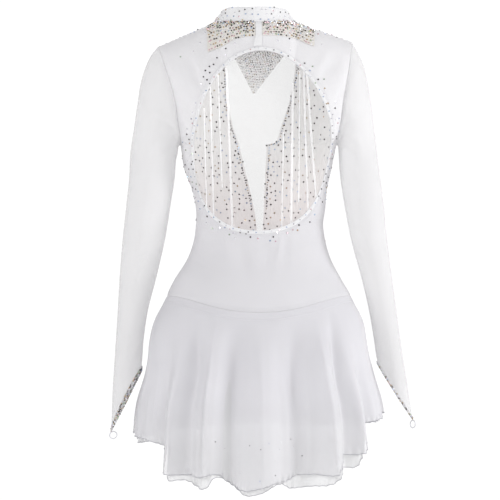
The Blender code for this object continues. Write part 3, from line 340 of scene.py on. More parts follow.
# Creases of the back, seen from behind: a soft trough (depth below 0) or ridge from one place to another
BACK_CREASES = table(
    "x0 z0 x1 z1 width depth",
    (-0.136, -0.052, -0.108, -0.110, 0.011, -0.0032), (-0.120, -0.058, -0.098, -0.122, 0.009, 0.0022),
    (-0.150, -0.070, -0.128, -0.128, 0.010, 0.0020), (-0.158, -0.118, -0.130, -0.178, 0.010, -0.0026),
    (-0.150, -0.160, -0.128, -0.216, 0.009, 0.0018), (-0.139, -0.196, -0.121, -0.262, 0.008, -0.0018),
    (-0.092, -0.050, -0.060, -0.072, 0.008, -0.0014), (0.146, -0.050, 0.118, -0.100, 0.011, -0.0034),
    (0.128, -0.046, 0.104, -0.086, 0.009, 0.0020), (0.160, -0.066, 0.142, -0.128, 0.009, 0.0020),
    (0.158, -0.112, 0.134, -0.170, 0.009, -0.0024), (0.146, -0.156, 0.128, -0.206, 0.010, 0.0018),
    (0.138, -0.200, 0.124, -0.252, 0.008, -0.0016), (0.070, -0.052, 0.050, -0.062, 0.007, -0.0012),
    (0.040, -0.394, 0.033, -0.440, 0.0045, 0.0016), (0.052, -0.392, 0.046, -0.462, 0.007, -0.0014),
    (0.016, -0.400, 0.014, -0.470, 0.010, -0.0012), (-0.036, -0.398, -0.026, -0.480, 0.013, -0.0018),
    (-0.072, -0.380, -0.058, -0.450, 0.009, 0.0012), (-0.118, -0.352, -0.078, -0.372, 0.008, -0.0014),
    (-0.120, -0.378, -0.070, -0.400, 0.009, 0.0012), (0.120, -0.356, 0.082, -0.380, 0.008, -0.0014),
    (0.120, -0.386, 0.076, -0.402, 0.009, 0.0012), (-0.128, -0.432, -0.086, -0.470, 0.011, -0.0012),
    (0.130, -0.440, 0.092, -0.474, 0.011, -0.0012),
)
# Creases of the front, in the same terms
FRONT_CREASES = table(
    "x0 z0 x1 z1 width depth",
    (-0.150, -0.070, -0.112, -0.120, 0.010, -0.0022), (-0.154, -0.120, -0.118, -0.176, 0.009, -0.0020),
    (-0.142, -0.176, -0.108, -0.224, 0.009, 0.0016), (-0.126, -0.300, -0.082, -0.340, 0.010, -0.0016),
    (-0.120, -0.352, -0.066, -0.372, 0.009, 0.0014), (-0.118, -0.386, -0.060, -0.410, 0.009, -0.0016),
    (-0.126, -0.430, -0.080, -0.458, 0.011, -0.0012), (0.150, -0.074, 0.110, -0.126, 0.010, -0.0022),
    (0.152, -0.130, 0.116, -0.182, 0.009, -0.0020), (0.140, -0.182, 0.104, -0.228, 0.009, 0.0016),
    (0.128, -0.308, 0.086, -0.344, 0.010, -0.0016), (0.120, -0.358, 0.062, -0.380, 0.009, 0.0014),
    (0.118, -0.392, 0.064, -0.414, 0.009, -0.0016), (0.128, -0.436, 0.078, -0.462, 0.011, -0.0012),
)
# Standing pleat edges on the inside of the front, seen through the open back
FRONT_RIDGES = table(
    "top_x low_x top_z low_z width height edge",
    (-0.094, -0.086, -0.110, -0.400, 0.0030, 0.0012, 0.0014),
    (-0.080, -0.071, -0.075, -0.300, 0.0028, 0.0008, 0.0010),
    (-0.062, -0.051, -0.085, -0.395, 0.0030, 0.0014, 0.0020),
    (-0.106, -0.100, -0.150, -0.360, 0.0028, 0.0008, 0.0010),
    (0.064, 0.060, -0.110, -0.395, 0.0030, 0.0014, 0.0022),
    (0.077, 0.075, -0.085, -0.330, 0.0028, 0.0008, 0.0011),
    (0.084, 0.094, -0.080, -0.375, 0.0030, 0.0014, 0.0017),
    (0.090, 0.110, -0.078, -0.345, 0.0030, 0.0014, 0.0019),
    (0.046, 0.042, -0.190, -0.390, 0.0028, 0.0008, 0.0010),
)
RIDGE_OVERRUN = 0.05
RIDGE_FADE = 0.2
# Fine gathers near the top of the front panels
GATHER_HEIGHT = 0.0007
GATHER_PITCH = 0.0085
GATHER_SLANT = 9
GATHER_LOW_Z = -0.16
GATHER_FADE = 0.10
GATHER_START = 0.08
# Creases of a sleeve: metres down it, and parts of the way round from the armpit over the back
SLEEVE_CREASES = table(
    "down0 round0 down1 round1 width depth",
    (0.030, 0.16, 0.085, 0.27, 0.009, -0.0020), (0.055, 0.14, 0.120, 0.24, 0.008, 0.0016),
    (0.085, 0.10, 0.150, 0.20, 0.009, -0.0016), (0.030, 0.84, 0.085, 0.73, 0.009, -0.0020),
    (0.055, 0.86, 0.120, 0.76, 0.008, 0.0016), (0.085, 0.90, 0.150, 0.80, 0.009, -0.0016),
    (0.262, 0.92, 0.288, 0.74, 0.007, -0.0024), (0.282, 0.96, 0.306, 0.72, 0.008, 0.0024),
    (0.303, 0.90, 0.326, 0.76, 0.007, -0.0020), (0.326, 0.97, 0.340, 0.80, 0.008, 0.0016),
    (0.270, 0.06, 0.296, 0.19, 0.007, -0.0018), (0.296, 0.03, 0.322, 0.17, 0.008, 0.0016),
    (0.322, 0.05, 0.344, 0.14, 0.007, -0.0014), (0.410, 0.04, 0.450, 0.16, 0.007, -0.0012),
    (0.455, 0.94, 0.490, 0.80, 0.007, -0.0014), (0.500, 0.10, 0.540, 0.22, 0.007, 0.0012),
)
# Narrow folds of the skirt between its large ones
FINE_FOLDS = table(
    "angle half_width height start",
    (-170, 3.5, 0.0040, 0.20), (-150, 3.0, -0.0040, 0.25), (-143, 3.5, 0.0040, 0.45),
    (-120, 3.5, -0.0045, 0.20), (-112, 3.0, 0.0035, 0.50), (-90, 3.0, -0.0035, 0.35),
    (-83, 2.5, 0.0030, 0.55), (-66, 2.5, 0.0030, 0.50), (-58, 2.2, -0.0030, 0.40), (-41, 2.6, 0.0050, 0.15),
    (-33, 3.2, -0.0075, 0.06), (-28, 2.2, 0.0025, 0.45), (-22.5, 1.6, 0.0075, 0.04),
    (-19, 3.0, 0.0030, 0.05), (-12, 4.2, -0.0110, 0.06), (-7, 2.2, 0.0025, 0.50), (0.5, 1.5, 0.0042, 0.05),
    (3, 3.0, 0.0020, 0.06), (8.5, 2.8, -0.0040, 0.10), (17, 4.2, -0.0135, 0.08), (26, 3.0, -0.0045, 0.08),
    (31.2, 1.7, 0.0080, 0.04), (34, 2.6, 0.0030, 0.05), (40, 2.8, -0.0075, 0.12), (50, 2.6, 0.0045, 0.25),
    (68, 2.6, 0.0030, 0.45), (88, 3.0, -0.0035, 0.35), (96, 3.0, 0.0030, 0.50), (118, 3.5, -0.0045, 0.20),
    (124, 3.0, 0.0035, 0.50), (145, 3.0, -0.0040, 0.25), (170, 3.2, -0.0035, 0.20),
)
FINE_FOLD_FADE = 0.5
# Ripples of the hem, how much of their height is the same all along, and slow waves that shift them
RIPPLE_PITCH = 0.0150
RIPPLE_HEIGHT = 0.0022
RIPPLE_EVEN = 0.65
RIPPLE_SWELL_RATE = 53
RIPPLE_DRIFTS = ((1.3, 37, 0), (0.8, 91, 1))
RIPPLE_LIFT = 0.0008
RIPPLE_LIFT_START = 0.6
RIPPLE_START = 0.93
SKIRT_SIDE_FADE = 0.05

# Stones: their shape, how far they sink in, how they differ, and how often each tint comes
STONE_SIDES = 8
STONE_TABLE = 0.56
STONE_RISE = 0.62
STONE_SINK = 0.0002
STONE_SPREAD = (0.88, 1.06)
# How much lighter or darker each facet is painted: painted reflections of the surroundings
PAINTED_FACET_REFLECTIONS = (0.45, 1.25)
UPRIGHT = 0.9
STONE_TINTS = {
    "clear": (0.95, 0.95, 0.98),
    "ice": (0.72, 0.79, 0.90),
    "rose": (0.90, 0.76, 0.79),
    "leaf": (0.68, 0.76, 0.66),
    "gold": (0.78, 0.68, 0.54),
    "smoke": (0.26, 0.23, 0.23),
}
DENSE_MIX = {"clear": 0.46, "ice": 0.07, "rose": 0.11, "leaf": 0.05, "gold": 0.11, "smoke": 0.20}
SPECK_MIX = {"clear": 0.23, "ice": 0.05, "rose": 0.10, "leaf": 0.08, "gold": 0.18, "smoke": 0.36}
ROSE_MIX = {"clear": 0.34, "ice": 0.06, "rose": 0.20, "leaf": 0.04, "gold": 0.10, "smoke": 0.26}
SPARSE_MIX = {"clear": 0.36, "ice": 0.16, "rose": 0.08, "leaf": 0.06, "gold": 0.06, "smoke": 0.28}
CUFF_MIX = {"clear": 0.50, "ice": 0.04, "rose": 0.03, "leaf": 0.10, "gold": 0.13, "smoke": 0.20}
BACKING_MIX = {"smoke": 0.60, "gold": 0.15, "ice": 0.25}
# Stones in close rows: how far apart and how large, how far from the piece's edge, how loosely they are set,
# their tints, the seed of their draws and the number of rows, where it is given
ROW_CLOSENESS = 0.88
ROW_STARTS = (0.75, 0.25)
StoneRows = namedtuple("StoneRows", "pitch size margin loose mix seed lines", defaults=(None,))
STONE_ROWS = {
    "keyhole_binding": StoneRows(0.0150, 0.0032, 0.0, 0.0, SPARSE_MIX, 11, 1),
    "yoke_tab_right": StoneRows(0.0054, 0.0039, 0.0020, 0.0008, ROSE_MIX, 21),
    "yoke_tab_left": StoneRows(0.0054, 0.0039, 0.0020, 0.0008, SPECK_MIX, 22),
    "front_bib": StoneRows(0.0046, 0.0034, 0.0018, 0.0003, DENSE_MIX, 31),
    "cuff_band_left": StoneRows(0.0033, 0.0028, 0.0012, 0.0003, CUFF_MIX, 40),
    "cuff_band_right": StoneRows(0.0033, 0.0028, 0.0012, 0.0003, CUFF_MIX, 42),
}
# Scattered stones: how many places are tried, the least gap, and the seeds of their places and of their looks
StoneScatter = namedtuple("StoneScatter", "tries gap place_seed size seed")
STONE_SCATTER = {
    "back_bodice": StoneScatter(2600, 0.0085, 51, 0.0038, 52),
    "stand_collar": StoneScatter(700, 0.0085, 53, 0.0036, 54),
    "front_panel_left": StoneScatter(5200, 0.0075, 61, 0.0038, 63),
    "front_panel_right": StoneScatter(5200, 0.0075, 62, 0.0038, 64),
    "skirt_upper_back": StoneScatter(900, 0.014, 71, 0.0026, 73),
    "skirt_upper_front": StoneScatter(900, 0.014, 72, 0.0026, 73),
}
# How likely a scattered stone is. On the back, ring 1 is the edge of the open back
RIM_CHANCE_LEFT = 0.80
RIM_CHANCE_RIGHT = 0.45
RIM_RING = 1.08
RIM_SPREAD = 0.055
RIM_TOP_Z = -0.06
SHOULDER_CHANCE = 0.07
SHOULDER_LOW_Z = -0.075
SHOULDER_REACH = 0.15
COLLAR_CHANCE = 0.9
EDGE_ROW_CHANCE = 0.9
EDGE_ROW_OFF = 0.006
PANEL_CHANCE = 0.28
PANEL_CHANCE_REACH = 0.085
PANEL_CHANCE_LOW_Z = -0.46
PANEL_CHANCE_FADE = 0.06
PANEL_STONES_LOW_Z = -0.42
HEM_CHANCE = 0.16
HEM_CHANCE_Z = -0.72
HEM_CHANCE_FADE = 0.10
# The backs of the front panels' stones, and the stones along the panels' inner edges, both on their inside
BACKING_SIZE = 0.0036
BACKING_SIDES = 7
BACKING_RISE = 0.22
BACKING_SEEDS = {"left": 65, "right": 66}
EDGE_STONES_SIZE = 0.0028
EDGE_STONES_RISE = 0.25
EDGE_STONES_SEED = 35
EDGE_STONES_START = 0.002
EDGE_STONES_PITCH = 0.0052
EDGE_STONES_LOW_Z = -0.345
EDGE_STONES_TOP_Z = -0.02
EDGE_COLUMN = 3

# Stitches: how far apart, and how far out their lower and upper faces lie, with half their length and width.
# They run on the third row of the cloth from a seam at its start or its end, and on the second of the collar
STITCH_PITCH = 0.0034
STITCH_FACES = ((-0.0003, 0.00115, 0.00025), (0.0003, 0.00092, 0.000175))
STITCH_CORNERS = 8
STITCH_OUT = 0.0001
START_STITCHES = 2
END_STITCHES = -3
COLLAR_STITCHES = (1, -2)

# Looks of cloth and stones
WAVE_SCALE = math.pi / 10
RELIEF_SHARE = 0.25
TONE_SCALE = 16
TONE_DETAIL = 3
TONE_LOW = 0.955
TONE_HIGH = 1.02
OPEN_BELOW = 0.12
OPEN_ABOVE = 0.04
SHEEN_ROUGHNESS = 0.4
CLOTH_SPECULAR = 0.25
PLAY_SCALE = 420
PLAY_SHARE = 0.35
GLOSS_LOW = 0.05
GLOSS_HIGH = 0.30
STONE_SHINE = {"Metallic": 0.55, "Coat Weight": 0.6, "Coat Roughness": 0.05}

# Camera, lights and surroundings
CAMERA_LENS = 1000
CAMERA_SENSOR = 36
CAMERA_CLIP = (0.5, 200)
FRAME_WIDTH = 0.95
FRAME_X = -0.01805
FRAME_Z = -0.418
FLOOR_Z = -1.3
FLOOR_RADIUS = 9
FLOOR_SIDES = 96
FLOOR_LOW = 0.86
FLOOR_HIGH = 0.89
FLOOR_GRAIN = 3
FLOOR_ROUGHNESS = 0.9
BACKDROP = 1.05
AMBIENT = 0.62
AMBIENT_COLOUR = (0.995, 0.99, 1.0, 1)
LIGHTS = table(
    "name place size power",
    ("key", (1.2, -3.6, 0.6), 0.9, 28), ("side", (3.4, -0.7, 0.5), 1.2, 70),
    ("fill", (-2.6, -2.0, 0.4), 1.8, 41), ("front_fill", (0.4, 3.2, 1.0), 2.4, 44),
)


def curve(share, step, low, high, slope_low, slope_high):
    """A smooth curve between two values with given slopes, at a share of the step between them."""
    rest = 1 - share
    start = (1 + 2 * share) * rest**2 * low + share * rest**2 * step * slope_low
    end = share**2 * (3 - 2 * share) * high - share**2 * rest * step * slope_high
    return start + end


def along(rows, at, column):
    """A column of a table, read on a smooth curve over the table's first column."""
    rows = sorted(rows)
    keys = np.array([row[0] for row in rows], dtype=float)
    values = np.array([getattr(row, column) for row in rows], dtype=float)
    slopes = np.gradient(values, keys)
    at = np.clip(at, keys[0], keys[-1])
    low = np.clip(np.searchsorted(keys, at) - 1, 0, len(keys) - 2)
    step = keys[low + 1] - keys[low]
    share = (at - keys[low]) / step
    return curve(share, step, values[low], values[low + 1], slopes[low], slopes[low + 1])


def ease(share):
    """A smooth rise from 0 to 1."""
    share = np.clip(share, 0, 1)
    return share * share * (3 - 2 * share)


def bell(off, width):
    """A bell curve: 1 at no distance off, falling away within a width."""
    return np.exp(-((off / width) ** 2))


def seam_dip(off, depth=SEAM_DIP):
    """How far the cloth dips in at a distance off a seam."""
    return depth * bell(off, SEAM_DIP_WIDTH)


def circle(count):
    """Angles evenly round a circle."""
    return np.arange(count) * 2 * math.pi / count


def run_along(line):
    """How far along a line each of its points is."""
    return np.concatenate([[0], np.linalg.norm(np.diff(line, axis=0), axis=-1).cumsum()])


def section(turn):
    """The rounded outline of a body section: parts across and front to back."""
    across = np.sign(turn) * np.abs(np.sin(turn)) ** SECTION_POWER
    deep = np.abs(np.cos(turn)) ** SECTION_POWER
    return across, deep


def turn_at(across):
    """The angle at which a section reaches a part of its half width."""
    reach = np.clip(np.abs(across), 0, 1) ** (1 / SECTION_POWER)
    return np.sign(across) * np.arcsin(reach)


def seam_z(side, turn):
    """Height of the dropped waist seam."""
    return SEAM_SIDE_Z - SEAM_DROP[side] * np.cos(turn) ** SEAM_CURVE


def top_line(side, turn):
    """The neckline and the shoulder seam: across, front to back and height."""
    x = ARMHOLE[-1].half_width * section(turn)[0]
    in_neck = np.clip(np.abs(x) / NECK_HALF_WIDTH, 0, 1)
    deep = NECK_DEPTH[side] * np.sqrt(1 - in_neck**2)
    neck_z = NECK_MIDDLE_Z[side] + (NECK_SIDE_Z - NECK_MIDDLE_Z[side]) * in_neck**2
    slope = np.where(x < 0, SHOULDER_SLOPE_LEFT, SHOULDER_SLOPE_RIGHT)
    shoulder_drop = slope * np.maximum(np.abs(x) - NECK_HALF_WIDTH, 0)
    return x, deep, neck_z - shoulder_drop


def shoulder_curve(height):
    """How far up the shoulder a level lies, and how upright the cloth still is there."""
    rise = np.clip(height - 1, 0, 1) * QUARTER
    return np.sin(rise), np.clip(np.cos(rise), 0, 1) ** SHOULDER_ROUNDNESS


def body_measure(name, z, lift, below):
    """A measure of the body: from its sections below the armpit, and from the armhole's levels above it."""
    return np.where(below, along(TORSO, z, name), along(ARMHOLE, lift, name))


def body(side, turn, height, out=0.0):
    """A point of the bodice. Height is 0 at the waist seam, 1 at the armpit and 2 at the shoulder."""
    turn, height, out = np.broadcast_arrays(np.asarray(turn, float), np.asarray(height, float), out)
    across, deep = section(turn)
    lift, tuck = shoulder_curve(height)
    seam = seam_z(side, turn)
    top_y, top_z = top_line(side, turn)[1:]
    below = height <= 1
    below_z = seam + (ARMPIT_Z - seam) * np.minimum(height, 1)
    z = np.where(below, below_z, ARMPIT_Z + (top_z - ARMPIT_Z) * lift)
    measures = ("half_width", "middle", DEPTH_NAME[side])
    half_width, middle, depth = (body_measure(name, z, lift, below) for name in measures)
    edge = np.where(below, 0.0, along(ARMHOLE, lift, "edge"))
    x = middle + (half_width + out * tuck) * across
    y = SEAM_GAP / 2 + tuck * (edge + (depth + out - edge) * deep) + (1 - tuck) * top_y
    return np.stack([x, side * y, z + out * np.sqrt(1 - tuck**2)], axis=-1)


def find_on_body(side, x, z):
    """The turn and height at which the bodice passes a place seen from the back or front."""
    turn = np.zeros_like(x)
    height = np.ones_like(x)
    for _ in range(SOLVE_ROUNDS):
        seam = seam_z(side, turn)
        top_z = top_line(side, turn)[2]
        lift = np.clip((z - ARMPIT_Z) / (top_z - ARMPIT_Z), 0, 1)
        below = np.clip((z - seam) / (ARMPIT_Z - seam), 0, 1)
        height = np.where(z <= ARMPIT_Z, below, 1 + np.arcsin(lift) / QUARTER)
        turn = turn + SOLVE_STEP * (turn_for(x, z, height) - turn)
    return turn, height


def turn_for(x, z, height):
    """The turn at which a level of the bodice reaches a distance across."""
    lift = shoulder_curve(height)[0]
    half_width, middle = (body_measure(name, z, lift, height <= 1) for name in ("half_width", "middle"))
    return turn_at((x - middle) / half_width)


def shift_towards(points, targets, distance):
    """Points moved a distance straight towards their targets."""
    way = targets - points
    length = np.linalg.norm(way, axis=-1, keepdims=True)
    return points + way / length * np.asarray(distance)[..., None]


def keyhole_reach(angles):
    """How far the edge of the open back is from its middle: a smooth closed line near its measured places."""
    places = np.array(KEYHOLE_EDGE) - (KEYHOLE_X, KEYHOLE_Z)

    def waves(at):
        parts = [np.ones_like(at)]
        for number in range(1, KEYHOLE_WAVES + 1):
            parts.extend([np.cos(number * at), np.sin(number * at)])
        return np.stack(parts, axis=-1)

    at = np.arctan2(places[:, 1], places[:, 0])
    shares = np.linalg.lstsq(waves(at), np.hypot(places[:, 0], places[:, 1]), rcond=None)[0]
    return waves(np.asarray(angles, float)) @ shares


def keyhole_outline(angles):
    """The edge of the open back, seen from behind."""
    reach = keyhole_reach(angles)
    return KEYHOLE_X + reach * np.cos(angles), KEYHOLE_Z + reach * np.sin(angles)


def tab_rise(stations):
    """How much of a yoke tab's top row is left, which falls off towards the tabs' outer corners."""
    tab_end = np.where(stations < 0, -TAB_LEFT_END, TAB_RIGHT_END)
    share = np.clip((np.abs(stations) - NECK_HALF_WIDTH) / (tab_end - NECK_HALF_WIDTH), 0, 1)
    return 1 - TAB_CORNER_CUT * share**3


def pleat_height(share, height):
    """How far a front panel's pleats stand out, across the panel and up it."""
    inset = ease(share / PLEAT_INNER_MARGIN) * ease((1 - share) / PLEAT_ARMHOLE_MARGIN)
    length = ease((height - PLEAT_START_UP) / PLEAT_RISE) * ease((2 - height) / PLEAT_TOP_FADE)
    return PLEAT_HEIGHT * inset * length * np.sin(math.pi * PLEATS * share) ** 2


def oval(outer, inner, half_depth, y, angles):
    """A ring through an outer and an inner point, as deep as given."""
    outer, inner = np.array(outer), np.array(inner)
    centre = (outer + inner) / 2
    reach = np.linalg.norm(inner - outer) / 2
    way = (inner - outer) / (2 * reach)
    x = centre[0] + reach * np.cos(angles) * way[0]
    z = centre[1] + reach * np.cos(angles) * way[1]
    return np.stack([x, y - half_depth * np.sin(angles), z], axis=-1)


def full_angle(side, turn):
    """A place on the back or front as one angle in degrees from the middle of the back."""
    degrees = np.degrees(turn)
    front = np.where(turn >= 0, 180 - degrees, -180 - degrees)
    return degrees if side < 0 else front


def degrees_off(angle, middle):
    """Degrees from a middle to an angle, the short way round."""
    return (angle - middle + 180) % 360 - 180


def fold_reach(angle, drop):
    """How far the skirt's folds and hollows stand out at an angle and a share of the way down."""
    reach = -FOLD_SINK * ease(drop / FOLD_SINK_SHARE)
    for fold in FOLDS:
        opening = ease((drop - fold.start) / (1 - fold.start)) ** FOLD_SPREAD
        reach = reach + fold.height * bell(degrees_off(angle, fold.angle), fold.half_width) * opening
    for hollow in HOLLOWS:
        off = degrees_off(angle, hollow.angle)
        near = ((off / hollow.half_width) ** 2) + ((drop - hollow.middle) / hollow.spread) ** 2
        reach = reach - hollow.depth * np.exp(-near) * ease(drop / HOLLOW_START)
    return reach


def skirt_point(side, turn, drop, layer, out=0.0):
    """A point of a skirt layer, from its seam (drop 0) to its hem (drop 1)."""
    turn, drop = np.broadcast_arrays(np.asarray(turn, float), np.asarray(drop, float))
    across, deep = section(turn)
    angle = full_angle(side, turn)
    top_z = seam_z(side, turn) - SEAM_GAP
    hem_z = along(HEM, angle, "z") - layer.peek * along(PEEK, angle, "longer")
    z = top_z + (hem_z - top_z) * drop
    out = out + layer.top_out - layer.hem_in * ease(drop / LAYER_PART_SHARE) + fold_reach(angle, drop)
    half_width, depth, middle = (
        along(TORSO, top_z, name) + along(SKIRT, z, name) - along(SKIRT, top_z, name)
        for name in ("half_width", DEPTH_NAME[side], "middle")
    )
    x = middle + (half_width + out) * across
    y = SEAM_GAP / 2 + (depth + out) * deep
    return np.stack([x, side * y, z], axis=-1)


def briefs_point(side, share, drop, out):
    """A point of the briefs, from the waist seam down to the leg line."""
    top_z = seam_z(side, share * QUARTER) - SEAM_GAP
    top_x = along(TORSO, top_z, "half_width") * section(share * QUARTER)[0]
    low_x, low_z = (along(LEG_LINE, np.abs(share), name) for name in ("x", "z"))
    z = top_z + (low_z - top_z) * drop
    half_width, depth, middle = (along(TORSO, z, name) for name in ("half_width", DEPTH_NAME[side], "middle"))
    x = top_x + (np.sign(share) * low_x - top_x) * drop
    reach = np.clip(np.abs(x) / half_width, 0, 1)
    reach = np.where(np.isclose(np.abs(share), 1), 1.0, reach)
    across, deep = section(turn_at(np.sign(share) * reach))
    under = np.clip((CROTCH_TURN_Z - z) / (CROTCH_TURN_Z - CROTCH_Z), 0, 1)
    close = np.sqrt(1 - under**2)
    x = middle + (half_width + out * close) * across
    y = SEAM_GAP / 2 + (depth + out) * deep * close
    return np.stack([x, side * y, z - out * under * np.abs(deep)], axis=-1)


def spaced(values, per_gap):
    """Values with more set evenly between them."""
    values = np.array(values, dtype=float)
    fine = np.linspace(0, len(values) - 1, (len(values) - 1) * per_gap + 1)
    return np.interp(fine, np.arange(len(values), dtype=float), values)


def smooth_rows(grid, per_gap):
    """A grid with more rows between its rows, on smooth curves down it."""
    gaps = np.linalg.norm(np.diff(grid, axis=0), axis=-1).mean(axis=1)
    at = np.concatenate([[0], np.cumsum(gaps)])
    slopes = np.gradient(grid, at, axis=0)
    rows = [grid[0]]
    for low, step in enumerate(gaps):
        for share in np.arange(1, per_gap + 1) / per_gap:
            rows.append(curve(share, step, grid[low], grid[low + 1], slopes[low], slopes[low + 1]))
    return np.array(rows)


def unit(vectors):
    """Vectors of length one."""
    length = np.linalg.norm(vectors, axis=-1, keepdims=True)
    return vectors / np.maximum(length, TINY)


def grid_normals(grid, middle, around=False):
    """The outward normals of a grid of points, away from its middle."""
    down = np.gradient(grid, axis=0)
    wide = np.roll(grid, -1, 1) - np.roll(grid, 1, 1) if around else np.gradient(grid, axis=1)
    normals = unit(np.cross(wide, down))
    outward = np.sum(normals * (grid - middle))
    return normals if outward > 0 else -normals


def crease_field(x, z, creases):
    """How far creases, given by two ends each, stand out at places on a surface."""
    reach = np.zeros_like(x)
    for x0, z0, x1, z1, width, depth in creases:
        way_x, way_z = x1 - x0, z1 - z0
        share = ((x - x0) * way_x + (z - z0) * way_z) / (way_x**2 + way_z**2)
        near = np.clip(share, 0, 1)
        off = np.hypot(x - x0 - near * way_x, z - z0 - near * way_z)
        swell = CREASE_ENDS + (1 - CREASE_ENDS) * np.sin(math.pi * near) ** CREASE_ROUNDNESS
        reach = reach + depth * swell * bell(off, width)
    return reach


def in_scene(name, data):
    """A new object in the scene."""
    made = bpy.data.objects.new(name, data)
    bpy.context.scene.collection.objects.link(made)
    return made


def add_mesh(name, points, faces, materials, smooth=True):
    """An object from points and faces in the scene, in materials given by name."""
    mesh = bpy.data.meshes.new(name)
    mesh.from_pydata(np.asarray(points, float).tolist(), [], faces)
    for material in materials:
        mesh.materials.append(MATERIALS[material])
    if smooth:
        mesh.shade_smooth()
        mesh.set_sharp_from_angle(angle=SHARP_ANGLE)
    made = in_scene(name, mesh)
    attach(made, "root")
    return made


Patch = namedtuple("Patch", "points normals around")


def shell(name, outside, thickness, middle, materials, around=False, weave=None):
    """A thin closed cloth shell inside a grid of points. Its faces inside take the last material."""
    rows, columns = outside.shape[:2]
    normals = grid_normals(outside, middle, around)
    inside = outside - normals * thickness
    count = rows * columns
    index = np.arange(count).reshape(rows, columns)
    if around:
        index = np.concatenate([index, index[:, :1]], axis=1)
        wide = np.concatenate([outside, outside[:, :1]], axis=1)
    else:
        wide = outside
    if weave is None:
        across = np.linalg.norm(np.diff(wide, axis=1), axis=-1).cumsum(axis=1)
        down = np.linalg.norm(np.diff(wide, axis=0), axis=-1).cumsum(axis=0)
        weave = np.stack([np.pad(across, ((0, 0), (1, 0))), np.pad(down, ((1, 0), (0, 0)))], axis=-1)
    elif around:
        weave = np.concatenate([weave, weave[:, :1]], axis=1)
    place = np.arange(weave.shape[0] * weave.shape[1]).reshape(weave.shape[:2])

    def cells(at):
        return np.stack([at[:-1, :-1], at[:-1, 1:], at[1:, 1:], at[1:, :-1]], axis=-1).reshape(-1, 4)

    def rims(at, low):
        parts = [(at[0, 1:], at[0, :-1]), (at[-1, :-1], at[-1, 1:])]
        if not around:
            parts += [(at[:-1, 0], at[1:, 0]), (at[1:, -1], at[:-1, -1])]
        return np.concatenate([np.stack([a, b, b + low, a + low], axis=-1) for a, b in parts])

    outer, rim = cells(index), rims(index, count)
    faces = np.concatenate([outer, outer[:, ::-1] + count, rim])
    uvs = np.concatenate([cells(place), cells(place)[:, ::-1], rims(place, 0)])
    first = outside.reshape(-1, 3)[outer[0]]
    facing = np.cross(first[1] - first[0], first[2] - first[1])
    if facing @ normals.reshape(-1, 3)[outer[0, 0]] < 0:
        faces, uvs = faces[:, ::-1], uvs[:, ::-1]
    points = np.concatenate([outside.reshape(-1, 3), inside.reshape(-1, 3)])
    made = add_mesh(name, points, faces.tolist(), materials)
    layer = made.data.uv_layers.new(name="cloth")
    layer.data.foreach_set("uv", weave.reshape(-1, 2)[uvs.ravel()].astype(np.float32).ravel())
    within = np.zeros(len(faces), dtype=np.int32)
    within[len(outer) : 2 * len(outer)] = len(materials) - 1
    made.data.polygons.foreach_set("material_index", within)
    made.data.update()
    return made, Patch(outside, normals, around)


def dressed(node):
    """Hides the solid whose place a piece takes."""
    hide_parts(node)


def body_axis(grid):
    """The middle of the body at the level of each point."""
    middle = np.zeros_like(grid)
    middle[..., 2] = grid[..., 2]
    return middle


def row_middles(grid):
    """The middle of each row of a tube."""
    return grid.mean(axis=1, keepdims=True)


def sewn(node, grid, wall, materials, middle=None, around=False, weave=None, kind="cloth"):
    """A cloth piece over a grid of points, in the place of a solid. Returns its patch."""
    if middle is None:
        middle = body_axis(grid)
    made, patch = shell(node + "_" + kind, grid, wall, middle, materials, around, weave)
    dressed(node)
    return patch


def at_places(patch, rows, columns):
    """Points and normals of a patch at fractional rows and columns."""
    height, width = patch.points.shape[:2]
    row = np.clip(rows.astype(int), 0, height - 2)
    column = np.clip(columns.astype(int), 0, width - 1 if patch.around else width - 2)
    after = (column + 1) % width
    u, v = (rows - row)[:, None], (columns - column)[:, None]
    found = []
    for field in (patch.points, patch.normals):
        high = field[row, column] * (1 - v) + field[row, after] * v
        low = field[row + 1, column] * (1 - v) + field[row + 1, after] * v
        found.append(high * (1 - u) + low * u)
    return found[0], unit(found[1])


def rows_of_places(patch, pitch, margin, lines):
    """Close rows of places on a patch, every other row half a step along."""
    points = patch.points
    depth = np.linalg.norm(np.diff(points, axis=0), axis=-1).sum(axis=0).mean()
    if lines is None:
        lines = max(1, int((depth - 2 * margin) / (pitch * ROW_CLOSENESS)) + 1)
    shares = np.linspace(margin / depth, 1 - margin / depth, lines) if lines > 1 else np.array([0.5])
    rows, columns = [], []
    for number, share in enumerate(shares):
        row = share * (len(points) - 1)
        low = min(int(row), len(points) - 2)
        line = points[low] + (points[low + 1] - points[low]) * (row - low)
        if patch.around:
            line = np.concatenate([line, line[:1]])
        length = run_along(line)
        count = max(2, int(round((length[-1] - 2 * margin) / pitch)))
        step = (length[-1] - 2 * margin) / count
        places = margin + step * (np.arange(count) + ROW_STARTS[number % 2])
        columns.append(np.interp(places, length, np.arange(len(line))))
        rows.append(np.full(count, row))
    return np.concatenate(rows), np.concatenate(columns)


def scattered(patch, tries, gap, seed, wanted):
    """Places on a patch at random, a gap apart at least, where wanted(points) is more than a draw."""
    draw = np.random.default_rng(seed)
    width = patch.points.shape[1]
    sides = np.diff(patch.points, axis=0)[:, :-1], np.diff(patch.points, axis=1)[:-1]
    area = np.linalg.norm(np.cross(*sides), axis=-1).ravel()
    cells = draw.choice(area.size, size=tries, p=area / area.sum())
    rows = cells // (width - 1) + draw.random(tries)
    columns = cells % (width - 1) + draw.random(tries)
    points = at_places(patch, rows, columns)[0]
    kept = []
    for number in np.flatnonzero(draw.random(tries) < wanted(points)):
        if not kept or np.min(np.linalg.norm(points[kept] - points[number], axis=-1)) > gap:
            kept.append(number)
    return rows[kept], columns[kept]


